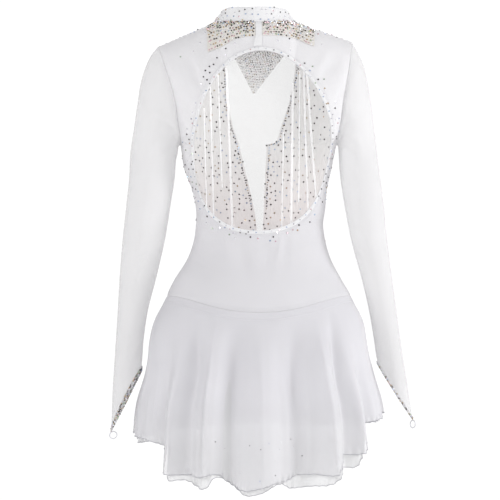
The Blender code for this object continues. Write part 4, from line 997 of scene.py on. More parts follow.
def stones(name, places, size, mix, seed, sides=STONE_SIDES, rise=STONE_RISE, loose=0.0):
    """Faceted round stones with flat backs, set on points along their normals."""
    points, normals = places
    draw = np.random.default_rng(seed)
    count = len(points)
    radius = size / 2 * draw.uniform(*STONE_SPREAD, count)[:, None]
    upright = np.where(np.abs(normals[:, 2:]) < UPRIGHT, [[0.0, 0.0, 1.0]], [[1.0, 0.0, 0.0]])
    across = unit(np.cross(normals, upright))
    aside = np.cross(normals, across)
    points = points + across * draw.normal(0, loose, (count, 1)) + aside * draw.normal(0, loose, (count, 1))
    angles = draw.uniform(0, 2 * math.pi, (count, 1)) + circle(sides)
    ring = np.cos(angles)[..., None] * across[:, None] + np.sin(angles)[..., None] * aside[:, None]
    low = points[:, None] + ring * radius[:, None] - normals[:, None] * STONE_SINK
    high = points[:, None] + ring * radius[:, None] * STONE_TABLE + (normals * radius * rise)[:, None]
    corners = np.concatenate([low, high], axis=1).reshape(-1, 3)
    pattern = []
    for side in range(sides):
        after = (side + 1) % sides
        pattern.append([side, after, after + sides, side + sides])
    pattern += [list(range(sides, 2 * sides)), list(range(sides))[::-1]]
    starts = range(0, len(corners), 2 * sides)
    faces = [[corner + start for corner in face] for start in starts for face in pattern]
    made = add_mesh(name, corners, faces, ["stone"], smooth=False)
    tints = np.array([STONE_TINTS[tint] for tint in mix]) ** DISPLAY_GAMMA
    chosen = draw.choice(len(tints), size=count, p=list(mix.values()))
    # Each facet is painted lighter or darker: painted reflections on the cut glass
    facet_reflections = draw.uniform(*PAINTED_FACET_REFLECTIONS, (count, sides + 2))
    colours = np.clip(tints[chosen][:, None] * facet_reflections[..., None], 0, 1)
    colours = np.repeat(colours, [len(face) for face in pattern], axis=1).reshape(-1, 3)
    colours = np.pad(colours, ((0, 0), (0, 1)), constant_values=1)
    layer = made.data.color_attributes.new(name="stone", type="FLOAT_COLOR", domain="CORNER")
    layer.data.foreach_set("color", colours.astype(np.float32).ravel())


def stones_in_rows(node, patch):
    """The stones that cover a piece in rows."""
    rows = STONE_ROWS[node]
    places = rows_of_places(patch, rows.pitch, rows.margin, rows.lines)
    stones(node + "_stones", at_places(patch, *places), rows.size, rows.mix, rows.seed, loose=rows.loose)


def scattered_stones(node, patch, wanted):
    """The stones scattered over a piece. Returns their points and normals."""
    loose = STONE_SCATTER[node]
    spots = at_places(patch, *scattered(patch, loose.tries, loose.gap, loose.place_seed, wanted))
    stones(node + "_stones", spots, loose.size, SPARSE_MIX, loose.seed)
    return spots


def stitches(node, lines):
    """Rows of short thread stitches on lines of points and normals."""
    corners = []
    for points, normals in lines:
        run = run_along(points)
        places = np.arange(STITCH_PITCH / 2, run[-1] - STITCH_PITCH / 2, STITCH_PITCH)
        middle, normal = (
            np.stack([np.interp(places, run, field[:, axis]) for axis in range(3)], axis=-1)
            for field in (points, normals)
        )
        normal = unit(normal)
        way = unit(np.gradient(middle, axis=0))
        side = unit(np.cross(normal, way))
        for out, half_length, half_width in STITCH_FACES:
            for end, edge in ((-1, -1), (1, -1), (1, 1), (-1, 1)):
                corners.append(middle + way * end * half_length + side * edge * half_width + normal * out)
    firsts = range(0, len(corners), STITCH_CORNERS)
    blocks = [np.stack(corners[first : first + STITCH_CORNERS], axis=1) for first in firsts]
    points = np.concatenate([block.reshape(-1, 3) for block in blocks])
    pattern = np.array([[0, 3, 2, 1], [4, 5, 6, 7], [0, 1, 5, 4], [1, 2, 6, 5], [2, 3, 7, 6], [3, 0, 4, 7]])
    starts = np.arange(0, len(points), STITCH_CORNERS)
    faces = (starts[:, None, None] + pattern).reshape(-1, 4)
    made = add_mesh(node + "_stitches", points, faces.tolist(), ["thread"], smooth=False)


def stitch_line(patch, rows=slice(None), columns=slice(None), closed=False):
    """A row or a column of a patch's points and normals, just out of the cloth."""
    points, normals = patch.points[rows, columns], patch.normals[rows, columns]
    points = points + normals * STITCH_OUT
    if closed:
        points, normals = (np.concatenate([part, part[:1]]) for part in (points, normals))
    return points, normals


def cord_along(name, points, normals, radius, material, sides=6, flat=1.0):
    """A thin cord along a line of points, closed at its ends: round, or flattened onto the cloth."""
    way = unit(np.gradient(points, axis=0))
    normal = unit(normals - way * np.sum(normals * way, axis=-1, keepdims=True))
    side = np.cross(way, normal)
    angles = circle(sides)[:, None]
    ring = normal[:, None] * np.cos(angles) * flat + side[:, None] * np.sin(angles)
    corners = (points[:, None] + ring * radius).reshape(-1, 3)
    index = np.arange(len(corners)).reshape(len(points), sides)
    after = np.roll(index, -1, axis=1)
    quads = np.stack([index[:-1], after[:-1], after[1:], index[1:]], axis=-1).reshape(-1, 4)
    faces = quads.tolist() + [index[0][::-1].tolist(), index[-1].tolist()]
    made = add_mesh(name, corners, faces, [material])


def set_inputs(tree, node, inputs):
    """Sets a node's inputs, each to a value or to the output of another node."""
    for name, value in inputs.items():
        if isinstance(value, bpy.types.NodeSocket):
            tree.links.new(value, node.inputs[name])
        else:
            node.inputs[name].default_value = value


def add_node(tree, kind, output, inputs, **settings):
    """One output of a new node."""
    node = tree.nodes.new("ShaderNode" + kind)
    for name, value in settings.items():
        setattr(node, name, value)
    set_inputs(tree, node, inputs)
    return node.outputs[output]


def node_material(name):
    """A material, its nodes and its shader."""
    material = bpy.data.materials.new(name)
    material.use_nodes = True
    tree = material.node_tree
    return material, tree, tree.nodes["Principled BSDF"]


def linear(colour):
    """A display colour as light, with full opacity."""
    return (*(part**DISPLAY_GAMMA for part in colour), 1)


def cloth_material(
    name, colour, through, pitch, sheen, low_colour=None, bump=0.4, roughness=0.8, skew=0.0, wander=0.6,
    dark=0.93, ways="XY", low_span=(-0.36, -0.20), painted_glow=0.0,
):
    """Woven or knitted cloth: threads across and along, a little uneven in tone, and partly see-through.

    through is the share of light that passes one layer of cloth, and pitch the distance between threads.
    Threads wander off their line, and the dark share is the tone left between them. They run in one or two
    ways. painted_glow is a painted glow, an emission in the cloth's colour for the light that thin folded
    edges let through from behind.
    """
    material, tree, shader = node_material(name)
    flat_place = add_node(tree, "UVMap", "UV", {}, uv_map="cloth")
    turned = add_node(tree, "Mapping", "Vector", {"Vector": flat_place, "Rotation": (0, 0, skew)})
    waves = {"Vector": turned, "Scale": WAVE_SCALE / pitch, "Distortion": wander, "Detail": 1.0}
    threads = [add_node(tree, "TexWave", "Fac", waves, bands_direction=direction) for direction in ways]
    weave = add_node(tree, "Math", "Value", {0: threads[0], 1: threads[-1]}, operation="MAXIMUM")

    place = add_node(tree, "TexCoord", "Object", {})
    tone = add_node(tree, "TexNoise", "Fac", {"Vector": place, "Scale": TONE_SCALE, "Detail": TONE_DETAIL})
    uneven = add_node(tree, "MapRange", "Result", {"Value": tone, "To Min": TONE_LOW, "To Max": TONE_HIGH})
    gaps = add_node(tree, "MapRange", "Result", {"Value": weave, "To Min": dark, "To Max": 1.0})
    both = add_node(tree, "Math", "Value", {0: uneven, 1: gaps}, operation="MULTIPLY")

    span = {
        "Value": add_node(tree, "SeparateXYZ", "Z", {"Vector": place}),
        "From Min": low_span[0],
        "From Max": low_span[1],
    }
    fade = add_node(tree, "MapRange", "Result", span, interpolation_type="SMOOTHSTEP")
    colours = {"Factor": fade, "A": linear(low_colour or colour), "B": linear(colour)}
    base = add_node(tree, "Mix", "Result", colours, data_type="RGBA")
    shade = add_node(tree, "VectorMath", "Vector", {"Vector": base, "Scale": both}, operation="SCALE")
    threads_up = {"Strength": bump, "Distance": pitch * RELIEF_SHARE, "Height": weave}
    relief = add_node(tree, "Bump", "Normal", threads_up)
    solid = 1 - math.sqrt(through)
    least, most = max(solid - OPEN_BELOW, 0), min(solid + OPEN_ABOVE, 1)
    open_part = add_node(tree, "MapRange", "Result", {"Value": weave, "To Min": least, "To Max": most})
    set_inputs(tree, shader, {
        "Base Color": shade,
        "Normal": relief,
        "Alpha": open_part,
        "Roughness": roughness,
        "Sheen Weight": sheen,
        "Sheen Roughness": SHEEN_ROUGHNESS,
        "Specular IOR Level": CLOTH_SPECULAR,
        # Painted glow: an emission in the cloth's own colour
        "Emission Color": linear(colour),
        "Emission Strength": painted_glow,
    })
    return material


def stone_material(name):
    """Cut glass on foil: each facet tinted with a painted reflection, a shine and a faint play of colour."""
    material, tree, shader = node_material(name)
    tint = add_node(tree, "VertexColor", "Color", {}, layer_name="stone")
    place = add_node(tree, "TexCoord", "Object", {})
    play = add_node(tree, "TexNoise", "Fac", {"Vector": place, "Scale": PLAY_SCALE, "Detail": 1})
    colours = {"Factor": PLAY_SHARE, "A": tint, "B": play.node.outputs["Color"]}
    mixed = add_node(tree, "Mix", "Result", colours, data_type="RGBA", blend_type="OVERLAY")
    gloss = add_node(tree, "MapRange", "Result", {"Value": play, "To Min": GLOSS_LOW, "To Max": GLOSS_HIGH})
    set_inputs(tree, shader, {"Base Color": mixed, "Roughness": gloss, **STONE_SHINE})
    return material


MATERIALS = {
    "knit": cloth_material(
        "white_knit", (0.905, 0.902, 0.91), 0.06, 0.0007, 0.25, low_colour=(0.865, 0.862, 0.875)
    ),
    "trim": cloth_material("white_trim", (0.925, 0.925, 0.93), 0.04, 0.0007, 0.20),
    "yoke": cloth_material("yoke_ground", (0.90, 0.885, 0.86), 0.04, 0.0007, 0.10),
    "sleeve": cloth_material("sheer_sleeve_mesh", (0.908, 0.905, 0.909), 0.40, 0.0010, 0.18),
    "insert": cloth_material("sheer_insert_mesh", (0.90, 0.90, 0.90), 0.58, 0.0010, 0.05, roughness=0.7),
    "front": cloth_material("white_mesh_outside", (0.93, 0.93, 0.935), 0.20, 0.0009, 0.20),
    "nude": cloth_material(
        "nude_mesh_inside", (0.94, 0.93, 0.92), 0.24, 0.0009, 0.15, low_colour=(0.985, 0.945, 0.935)
    ),
    "bib": cloth_material(
        "bib_reverse", (1.0, 0.975, 0.945), 0.54, 0.0055, 0.10, skew=0.25, wander=2.2, dark=0.62, ways="Y"
    ),
    # The pleat edges get a painted glow: emission that stands in for light let through from behind
    "tuck": cloth_material("pleat_edges", (1.0, 1.0, 1.0), 0.0, 0.0007, 0.60, painted_glow=0.24),
    # The chiffon darkens towards its hem: partly the tone of layered chiffon, partly painted shade under the
    # briefs
    "chiffon": cloth_material(
        "chiffon", (0.922, 0.918, 0.935), 0.28, 0.0006, 0.28, low_colour=(0.888, 0.885, 0.896), bump=0.3,
        low_span=(-0.82, -0.66),
    ),
    "under": cloth_material("under_chiffon", (0.90, 0.90, 0.905), 0.28, 0.0006, 0.28, bump=0.3, skew=0.4),
    # The briefs are darker than the knit: partly their own tone, partly painted shade seen through the
    # skirt's hollows
    "briefs": cloth_material("briefs_knit", (0.80, 0.77, 0.78), 0.04, 0.0007, 0.20),
    "hem": cloth_material("rolled_hem_thread", (0.74, 0.74, 0.76), 0.02, 0.0005, 0.10),
    "thread": cloth_material("thread", (0.90, 0.90, 0.92), 0.02, 0.0003, 0.20),
    "elastic": cloth_material("finger_loop_cord", (0.90, 0.90, 0.92), 0.02, 0.0006, 0.20, bump=0.8, skew=0.8),
    "stone": stone_material("cut_stones"),
}


def back_rings(fine):
    """Turn and height of the back panel's points, in rings from the open back out to the panel's edge."""
    stations = spaced(TOP_STATIONS[::-1], fine)
    middle = ARMHOLE[-1].middle
    top_turns = turn_at(stations / ARMHOLE[-1].half_width)
    bottom_turns = np.linspace(-QUARTER, QUARTER, BOTTOM_COLUMNS * fine + 1)
    side_heights = spaced(HEIGHT_STEPS, fine)[1:-1]
    bottom, side, top = len(bottom_turns), len(side_heights), len(stations)
    edge_turn = np.concatenate([bottom_turns, np.full(side, QUARTER), top_turns, np.full(side, -QUARTER)])
    top_heights = np.full(top, HEIGHT_STEPS[-1])
    edge_height = np.concatenate([np.zeros(bottom), side_heights, top_heights, side_heights[::-1]])
    corner = QUARTER / 2
    from_hole = stations + middle - KEYHOLE_X
    on_hole = from_hole / (1 + np.abs(from_hole) / HOLE_SQUEEZE)
    side_angles = [np.linspace(start, start + 2, side + 2)[1:-1] * corner for start in (-1, 3)]
    bottom_angles = np.linspace(-3, -1, bottom) * corner
    top_angles = np.arccos(on_hole / KEYHOLE_HALF_WIDTH)
    angles = np.concatenate([bottom_angles, side_angles[0], top_angles, side_angles[1]])
    hole_turn, hole_height = find_on_body(-1, *keyhole_outline(angles))
    to_edge_turn, to_edge_height = edge_turn - hole_turn, edge_height - hole_height
    start = body(-1, hole_turn, hole_height)
    near = body(-1, hole_turn + RING_PROBE * to_edge_turn, hole_height + RING_PROBE * to_edge_height)
    share = RING_PROBE * BINDING_WIDTH / np.linalg.norm(near - start, axis=-1)
    shares = np.stack([np.zeros_like(share), share] + [np.full_like(share, part) for part in RING_SHARES])
    turn = hole_turn + shares * to_edge_turn
    height = hole_height + shares * to_edge_height

    yoke = find_on_body(-1, stations + middle, along(YOKE_LINE, stations, "z"))
    tab_end = np.where(stations < 0, -TAB_LEFT_END, TAB_RIGHT_END)
    follow = 1 - ease((np.abs(stations) - tab_end) / (ARMHOLE[-1].half_width - tab_end))
    ends = [TOP_STATIONS[::-1].index(end) * fine for end in (TAB_RIGHT_END, TAB_LEFT_END)]
    on_tab = np.clip(np.arange(top), *ends)
    top_first = bottom + side
    columns = slice(top_first, top_first + top)
    for grid, line in zip((turn, height), yoke):
        low, high = grid[1, columns].copy(), grid[-1, columns].copy()
        targets = ((low + line) / 2, line, (line + high) / 2)
        for ring, target in enumerate(targets, YOKE_LOW_RING - 1):
            shift = target - grid[ring, columns]
            grid[ring, columns] += follow * shift[on_tab]
    return turn, height, top_first


def between_rings(grid):
    """More rings between the back panel's rings."""
    rows = [grid[0]]
    for low in range(len(grid) - 1):
        count = BINDING_FINE if low == 0 else RING_FINE
        for share in np.arange(1, count + 1) / count:
            rows.append(grid[low] + (grid[low + 1] - grid[low]) * share)
    return np.array(rows)


def body_weave(grid, turn):
    """Thread places on the bodice: round it and up it."""
    return np.stack([turn * NECK_HALF_WIDTH * 2, grid[..., 2]], axis=-1)


def back_bodice():
    """The back bodice with its binding, placket and beaded yoke tabs, and their stones. Returns its patch."""
    coarse_turn, coarse_height, top_first = back_rings(BACK_FINE)
    turn, height = between_rings(coarse_turn), between_rings(coarse_height)
    flat = body(-1, turn, height)
    edge_share = np.linspace(0, 1, len(turn))[:, None]
    fade = ease(edge_share / HOLE_FADE) * ease((1 - edge_share) / EDGE_FADE)
    relief = crease_field(flat[..., 0], flat[..., 2], BACK_CREASES) * fade
    on_seam = np.ones(turn.shape[1])
    on_seam[BOTTOM_COLUMNS * BACK_FINE + 1 :] = ARMHOLE_DIP / SEAM_DIP
    on_seam[top_first : top_first + (len(TOP_STATIONS) - 1) * BACK_FINE + 1] = 0
    relief = relief - seam_dip(np.linalg.norm(flat - flat[-1:], axis=-1)) * on_seam

    def column(station):
        return top_first + TOP_STATIONS[::-1].index(station) * BACK_FINE

    weave = body_weave(flat, turn)
    grid = body(-1, turn, height, relief)
    patch = sewn("back_bodice", grid, CLOTH, ["knit"], around=True, weave=weave)

    rows = slice(0, BINDING_FINE + 1)
    round_share = np.linspace(0, 1, BINDING_FINE + 1)[:, None]
    bulge = SEAM_GAP + BINDING_LIFT + BINDING_BULGE * np.sin(math.pi * round_share) ** BINDING_ROUNDNESS
    trim = body(-1, turn[rows], height[rows], bulge)
    binding = sewn("keyhole_binding", trim, TRIM_CLOTH, ["trim"], around=True, weave=weave[rows])
    stones_in_rows("keyhole_binding", binding)

    columns = slice(column(PLACKET_RIGHT), column(PLACKET_LEFT) + 1)
    strip = body(-1, turn, height, relief + BEAD_LIFT + TRIM_WALL)[BINDING_FINE:, columns]
    sewn("back_placket", strip[::-1][:-1], TRIM_CLOTH, ["trim"])

    yoke_first = BINDING_FINE + (YOKE_LOW_RING - 1) * RING_FINE
    last_ring = -RING_FINE - 1
    rise = tab_rise(spaced(TOP_STATIONS[::-1], BACK_FINE))
    # The inner edge of each tab and the column beside it come last
    tabs = (
        ("yoke_tab_right", column(TAB_RIGHT_END), column(PLACKET_RIGHT) + 1, -1, -2),
        ("yoke_tab_left", column(PLACKET_LEFT), column(TAB_LEFT_END) + 1, 0, 1),
    )
    for name, first, end, inner, beside in tabs:
        tab_turn, tab_height, tab_relief = (
            field[yoke_first:, first:end].copy() for field in (turn, height, relief)
        )
        for field in (tab_turn, tab_height):
            ring = field[last_ring].copy()
            field[last_ring:] = ring + (field[last_ring:] - ring) * rise[first - top_first : end - top_first]
        part = body(-1, tab_turn, tab_height, tab_relief + BEAD_CLOTH_OUT)
        part[:, inner] = shift_towards(part[:, inner], part[:, beside], np.full(len(part), 2 * SEAM_GAP))
        stones_in_rows(name, sewn(name, part, BEAD_CLOTH, ["yoke"]))
    return patch


def insert_edge_x(z, name):
    """How far across an edge of the insert is at a height, straight between its measured places."""
    rows = sorted(INSERT)
    return np.interp(z, [row.z for row in rows], [getattr(row, name) for row in rows])


def fine_insert_edges(heights):
    """Turns of the see-through insert's left and right edges at each level of the front."""
    edges = []
    for name, sign in (("left", -1), ("right", 1)):
        neck_turn = turn_at(sign * NECK_HALF_WIDTH / ARMHOLE[-1].half_width)
        turn = np.full(len(heights), neck_turn / 2)
        for _ in range(SOLVE_ROUNDS):
            z = body(1, turn, heights)[:, 2]
            turn = turn + SOLVE_STEP * (turn_for(insert_edge_x(z, name), z, heights) - turn)
        turn[-1] = neck_turn
        edges.append(turn)
    return edges


def bib_grid(level, left, right):
    """The bib's points, between two edges of the insert at each level of the front."""
    on_bib = level > HEIGHT_STEPS[BIB_POINT_ROW] - SEAM_GAP
    level, left, right = level[on_bib], left[on_bib], right[on_bib]
    middle_z = body(1, np.zeros_like(level), level)[:, 2]
    sides = []
    for sign, slope, edge in ((-1, BIB_SLOPE_LEFT, left), (1, BIB_SLOPE_RIGHT, right)):
        room = sign * (body(1, edge, level)[:, 0] - BIB_POINT_X) - BIB_MARGIN
        side_x = np.full_like(level, BIB_POINT_X)
        for _ in range(SOLVE_ROUNDS):
            side_z = body(1, turn_for(side_x, middle_z, level), level)[:, 2]
            reach = BIB_POINT_HALF + slope * np.maximum(side_z - BIB_POINT_Z, 0)
            side_x += SOLVE_STEP * (BIB_POINT_X + sign * np.minimum(reach, room) - side_x)
        sides.append(side_x[:, None])
    x = sides[0] + np.linspace(0, 1, BIB_POINTS) * (sides[1] - sides[0])
    turn = turn_for(x, middle_z[:, None], level[:, None])
    return body(1, turn, level[:, None], BEAD_CLOTH_OUT)


def ridge_at(ridge, z):
    """How far along a pleat's edge a level is, and where the edge is across there."""
    share = (ridge.top_z - z) / (ridge.top_z - ridge.low_z)
    return share, ridge.top_x + (ridge.low_x - ridge.top_x) * share


def ridge_field(x, z):
    """How far the pleats' edges stand in from the front, towards the inside."""
    reach = np.zeros_like(x)
    for ridge in FRONT_RIDGES:
        share, middle = ridge_at(ridge, z)
        long = ease((share + RIDGE_OVERRUN) / RIDGE_FADE) * ease((1 + RIDGE_OVERRUN - share) / RIDGE_FADE)
        reach = reach - ridge.height * long * bell(x - middle, ridge.width)
    return reach


def pleat_edges(name, inside, sign):
    """Narrow white folded edges along a front panel's standing pleats, on its inside."""
    x, z = inside.points[..., 0], inside.points[..., 2]
    levels = z.mean(axis=1)
    order = slice(None, None, sign)
    numbers = np.arange(x.shape[1])[order]
    for number, ridge in enumerate(ridge for ridge in FRONT_RIDGES if ridge.top_x * sign > 0):
        rows = np.flatnonzero((ridge.low_z < levels) & (levels < ridge.top_z))
        middles = ridge_at(ridge, levels[rows])[1]
        columns = [np.interp(middle, x[row][order], numbers) for row, middle in zip(rows, middles)]
        points, normals = at_places(inside, rows.astype(float), np.array(columns))
        line = points + normals * TUCK_LIFT
        piece = name + str(number + 1)
        cord_along(piece, line, normals, ridge.edge, "tuck", TUCK_SIDES, TUCK_FLAT)


def front_panel(side_name, sign, heights, edge):
    """A pleated front panel, its pleat edges and the stones along its inner edge. Returns its patch."""
    name = "front_panel_" + side_name
    foot = HEIGHT_STEPS[INSERT_FOOT_ROW]
    start = (edge * np.clip((heights - foot) / PANEL_FOOT_SPAN + 1, 0, 1))[:, None]
    share = np.linspace(0, 1, PANEL_POINTS)[None, :]
    turn = start + (sign * QUARTER - start) * share
    height = heights[:, None]
    plain = body(1, turn, height)
    x, z = plain[..., 0], plain[..., 2]
    side_off = np.linalg.norm(plain - plain[:, -1:], axis=-1)
    seam_off = np.linalg.norm(plain - plain[:1], axis=-1)
    fade = ease(side_off / PANEL_FADE) * ease(seam_off / PANEL_FADE)
    gather = GATHER_HEIGHT * np.sin(2 * math.pi * x / GATHER_PITCH + GATHER_SLANT * z)
    gather = gather * ease((z - GATHER_LOW_Z) / GATHER_FADE) * ease(share / GATHER_START)
    out = pleat_height(share, height) + crease_field(x, z, FRONT_CREASES) * fade
    out = out + (ridge_field(x, z) + gather) * fade - seam_dip(side_off, ARMHOLE_DIP) - seam_dip(seam_off)
    grid = body(1, turn, height, out)
    weave = body_weave(grid, turn)
    patch = sewn(name, grid, CLOTH, ["front", "nude"], weave=weave)

    inside = Patch(grid - patch.normals * CLOTH, -patch.normals, False)
    pleat_edges(name + "_pleat", inside, sign)
    edge_z = z[:, EDGE_COLUMN]
    rows = np.flatnonzero((EDGE_STONES_LOW_Z < edge_z) & (edge_z < EDGE_STONES_TOP_Z))
    run = run_along(inside.points[rows, EDGE_COLUMN])
    marks = np.interp(np.arange(EDGE_STONES_START, run[-1], EDGE_STONES_PITCH), run, rows)
    spots = at_places(inside, marks, np.full(len(marks), float(EDGE_COLUMN)))
    stones(
        name + "_edge_stones", spots, EDGE_STONES_SIZE, BACKING_MIX, EDGE_STONES_SEED + sign, BACKING_SIDES,
        EDGE_STONES_RISE,
    )
    return patch


def front():
    """The see-through insert, the bib and the pleated panels. Returns the panels' patches by side."""
    heights = spaced(HEIGHT_STEPS, FRONT_FINE)
    edges = dict(zip(SIDES, fine_insert_edges(heights)))
    rows = slice(INSERT_FOOT_ROW * FRONT_FINE, None)
    level, left, right = (line[rows] for line in (heights, edges["left"], edges["right"]))
    turn = left[:, None] + (right - left)[:, None] * np.linspace(0, 1, INSERT_POINTS)
    grid = body(1, turn, level[:, None])
    weave = body_weave(grid, turn)
    sewn("front_insert", grid, CLOTH, ["insert"], weave=weave, kind="mesh")
    bib = sewn("front_bib", bib_grid(level, left, right), BEAD_CLOTH, ["bib"])
    stones_in_rows("front_bib", bib)
    return {name: front_panel(name, sign, heights, edges[name]) for name, sign in SIDES.items()}


def stand_collar():
    """The stand collar, open at the centre back. Returns its patch."""
    slit = SEAM_GAP / 2 / NECK_HALF_WIDTH
    angles = np.linspace(slit, 2 * math.pi - slit, COLLAR_FINE_COLUMNS + 1)
    s, c = np.sin(angles), np.cos(angles)
    back = (1 + np.clip(c / COLLAR_SIDE_BLEND, -1, 1)) / 2
    depth = NECK_DEPTH[1] + (NECK_DEPTH[-1] - NECK_DEPTH[1]) * back
    middle_z = NECK_MIDDLE_Z[1] + (NECK_MIDDLE_Z[-1] - NECK_MIDDLE_Z[1]) * back
    base_z = middle_z + (NECK_SIDE_Z - middle_z) * s**2 + COLLAR_LIFT
    rise = COLLAR_HEIGHT - COLLAR_SIDE_DROP * s**4
    rows = []
    for share in np.concatenate([[COLLAR_FOOT], np.linspace(0, 1, COLLAR_FINE_ROWS + 1)]):
        edge = COLLAR_EDGE * ease((share - COLLAR_EDGE_START) / COLLAR_EDGE_FADE)
        wave = COLLAR_WAVE * max(share, 0) * np.sin(COLLAR_OUT_WAVES * angles + COLLAR_WAVE_START)
        out = COLLAR_OUT + BODICE_WALL + edge + wave
        x = ARMHOLE[-1].middle + (NECK_HALF_WIDTH + out - COLLAR_LEAN * share) * s
        y = -(depth + out - COLLAR_DEPTH_LEAN * share) * c
        z = base_z + share * rise + COLLAR_WAVE / 2 * share * np.sin(COLLAR_UP_WAVES * angles)
        rows.append(np.stack([x, y, z], axis=-1))
    return sewn("stand_collar", np.array(rows), COLLAR_CLOTH, ["trim"])


def fine_armhole(sign, fine):
    """The armhole's edge as a closed ring: armpit, up the back, shoulder, down the front."""
    steps = 1 + spaced(ARMHOLE_STEPS, fine)
    back, front_line = (body(side, np.full(len(steps), sign * QUARTER), steps) for side in (-1, 1))
    loop = np.concatenate([back, front_line[-2:0:-1]])
    loop[[0, len(steps) - 1], 1] = 0.0
    upright = shoulder_curve(steps)[1]
    loop[:, 0] += sign * (SLEEVE_CLEARANCE + CLOTH * np.concatenate([upright, upright[-2:0:-1]]))
    loop[:, 2] += SLEEVE_CLEARANCE
    return loop


def sleeve_grid(sign):
    """The rings of a sleeve from the armhole to its pointed cuff."""
    loop = fine_armhole(sign, SLEEVE_ROUND_FINE)
    count = len(loop)
    angles = circle(count)
    half_depth = (loop[:, 1].max() - loop[:, 1].min()) / 2
    first = oval(loop[count // 2, ::2], loop[0, ::2], half_depth, 0, angles)
    rings = [loop]
    for row in SLEEVE:
        outer = (sign * (row.left_outer if sign < 0 else row.right_outer), row.outer_z)
        inner = (sign * (row.left_inner if sign < 0 else row.right_inner), row.inner_z)
        rings.append(oval(outer, inner, row.half_depth, row.y, angles) + (loop - first) * row.shape_left)
    cuff = CUFF_EDGE[sign]
    outer, inner = (sign * cuff.outer, cuff.outer_z), (sign * cuff.inner, cuff.inner_z)
    edge = oval(outer, inner, cuff.half_depth, cuff.y, angles)
    edge[:, 2] -= cuff.bulge * np.sin(angles) ** 2
    band = shift_towards(edge, rings[-1], BAND_WIDTH[sign] + BAND_SLANT[sign] * np.sin(angles) ** 2)
    grid = smooth_rows(np.array(rings + [band, edge]), SLEEVE_FINE)
    to_middle = (loop.mean(axis=0) - grid[0]) * SLEEVE_TUCK_CLOSE
    tucked = grid[0] - (sign * SLEEVE_TUCK, 0, SLEEVE_TUCK / 2) + to_middle
    return np.concatenate([tucked[None], grid])


def finger_loop(side_name, sign, tip):
    """The ring of cord that hangs from the point of a cuff."""
    axis = unit(np.array(LOOP_AXIS[sign]))
    lean = np.array(LOOP_LEAN[sign])
    lean = unit(lean - axis * (lean @ axis))
    side = np.cross(axis, lean)
    centre = tip + lean * (LOOP_RADIUS + LOOP_CORD_RADIUS + LOOP_CLEARANCE)
    ring = circle(LOOP_FINE)[:, None]
    way = np.cos(ring) * lean + np.sin(ring) * side
    cord = circle(LOOP_CORD_FINE)[None, :]
    twist = 1 + LOOP_TWIST * np.cos(cord * LOOP_STRANDS + ring * LOOP_TWISTS)
    distance = LOOP_RADIUS + LOOP_CORD_RADIUS * twist * np.cos(cord)
    rise = LOOP_CORD_RADIUS * twist * np.sin(cord)
    points = centre + way[:, None] * distance[..., None] + axis * rise[..., None]
    index = np.arange(LOOP_FINE * LOOP_CORD_FINE).reshape(LOOP_FINE, LOOP_CORD_FINE)
    after, over = np.roll(index, -1, 0), np.roll(index, -1, 1)
    faces = np.stack([index, over, np.roll(after, -1, 1), after], axis=-1).reshape(-1, 4)
    name = "finger_loop_" + side_name
    loop = add_mesh(name + "_cord", points.reshape(-1, 3), faces.tolist(), ["elastic"])
    loop.data.uv_layers.new(name="cloth")
    dressed(name)


def sleeve(side_name, sign):
    """A sheer sleeve, the stoned band round its cuff and the finger loop at its point. Returns its patch."""
    grid = sleeve_grid(sign)
    normals = grid_normals(grid, row_middles(grid), True)
    gaps = np.linalg.norm(np.diff(grid, axis=0), axis=-1).mean(axis=1)
    down = np.concatenate([[0], np.cumsum(gaps)])
    girth = np.linalg.norm(np.roll(grid, -1, 1) - grid, axis=-1).sum(axis=1)
    part = np.arange(grid.shape[1]) / grid.shape[1]
    at = np.repeat(down[:, None], len(part), axis=1)
    field = np.zeros(grid.shape[:2])
    # A crease may cross the line where the way round starts, so each is also drawn one turn before and after
    for turn in (-1, 0, 1):
        round_at = (part[None, :] + turn) * girth[:, None]
        for crease in SLEEVE_CREASES:
            mean = np.interp((crease.down0 + crease.down1) / 2, down, girth)
            ends = (crease.round0 * mean, crease.down0, crease.round1 * mean, crease.down1)
            field = field + crease_field(round_at, at, [(*ends, crease.width, crease.depth)])
    end_fade = ease(down / SLEEVE_TOP_FADE) * ease((down[-1] - SLEEVE_LOW_PLAIN - down) / SLEEVE_LOW_FADE)
    grid = grid + normals * (field * end_fade[:, None])[..., None]
    grid = grid - normals * seam_dip(down, ARMHOLE_DIP)[:, None, None]
    patch = sewn("sleeve_" + side_name, grid, CLOTH, ["sleeve"], row_middles(grid), True)

    band = (grid + patch.normals * BAND_OUT)[-SLEEVE_FINE - 1 :]
    cuff = "cuff_band_" + side_name
    stones_in_rows(cuff, sewn(cuff, band, BEAD_CLOTH, ["bib"], row_middles(band), True))
    tip = (grid + patch.normals * (SEAM_GAP + TRIM_WALL))[-1, grid.shape[1] // 2]
    finger_loop(side_name, sign, tip)
    return patch


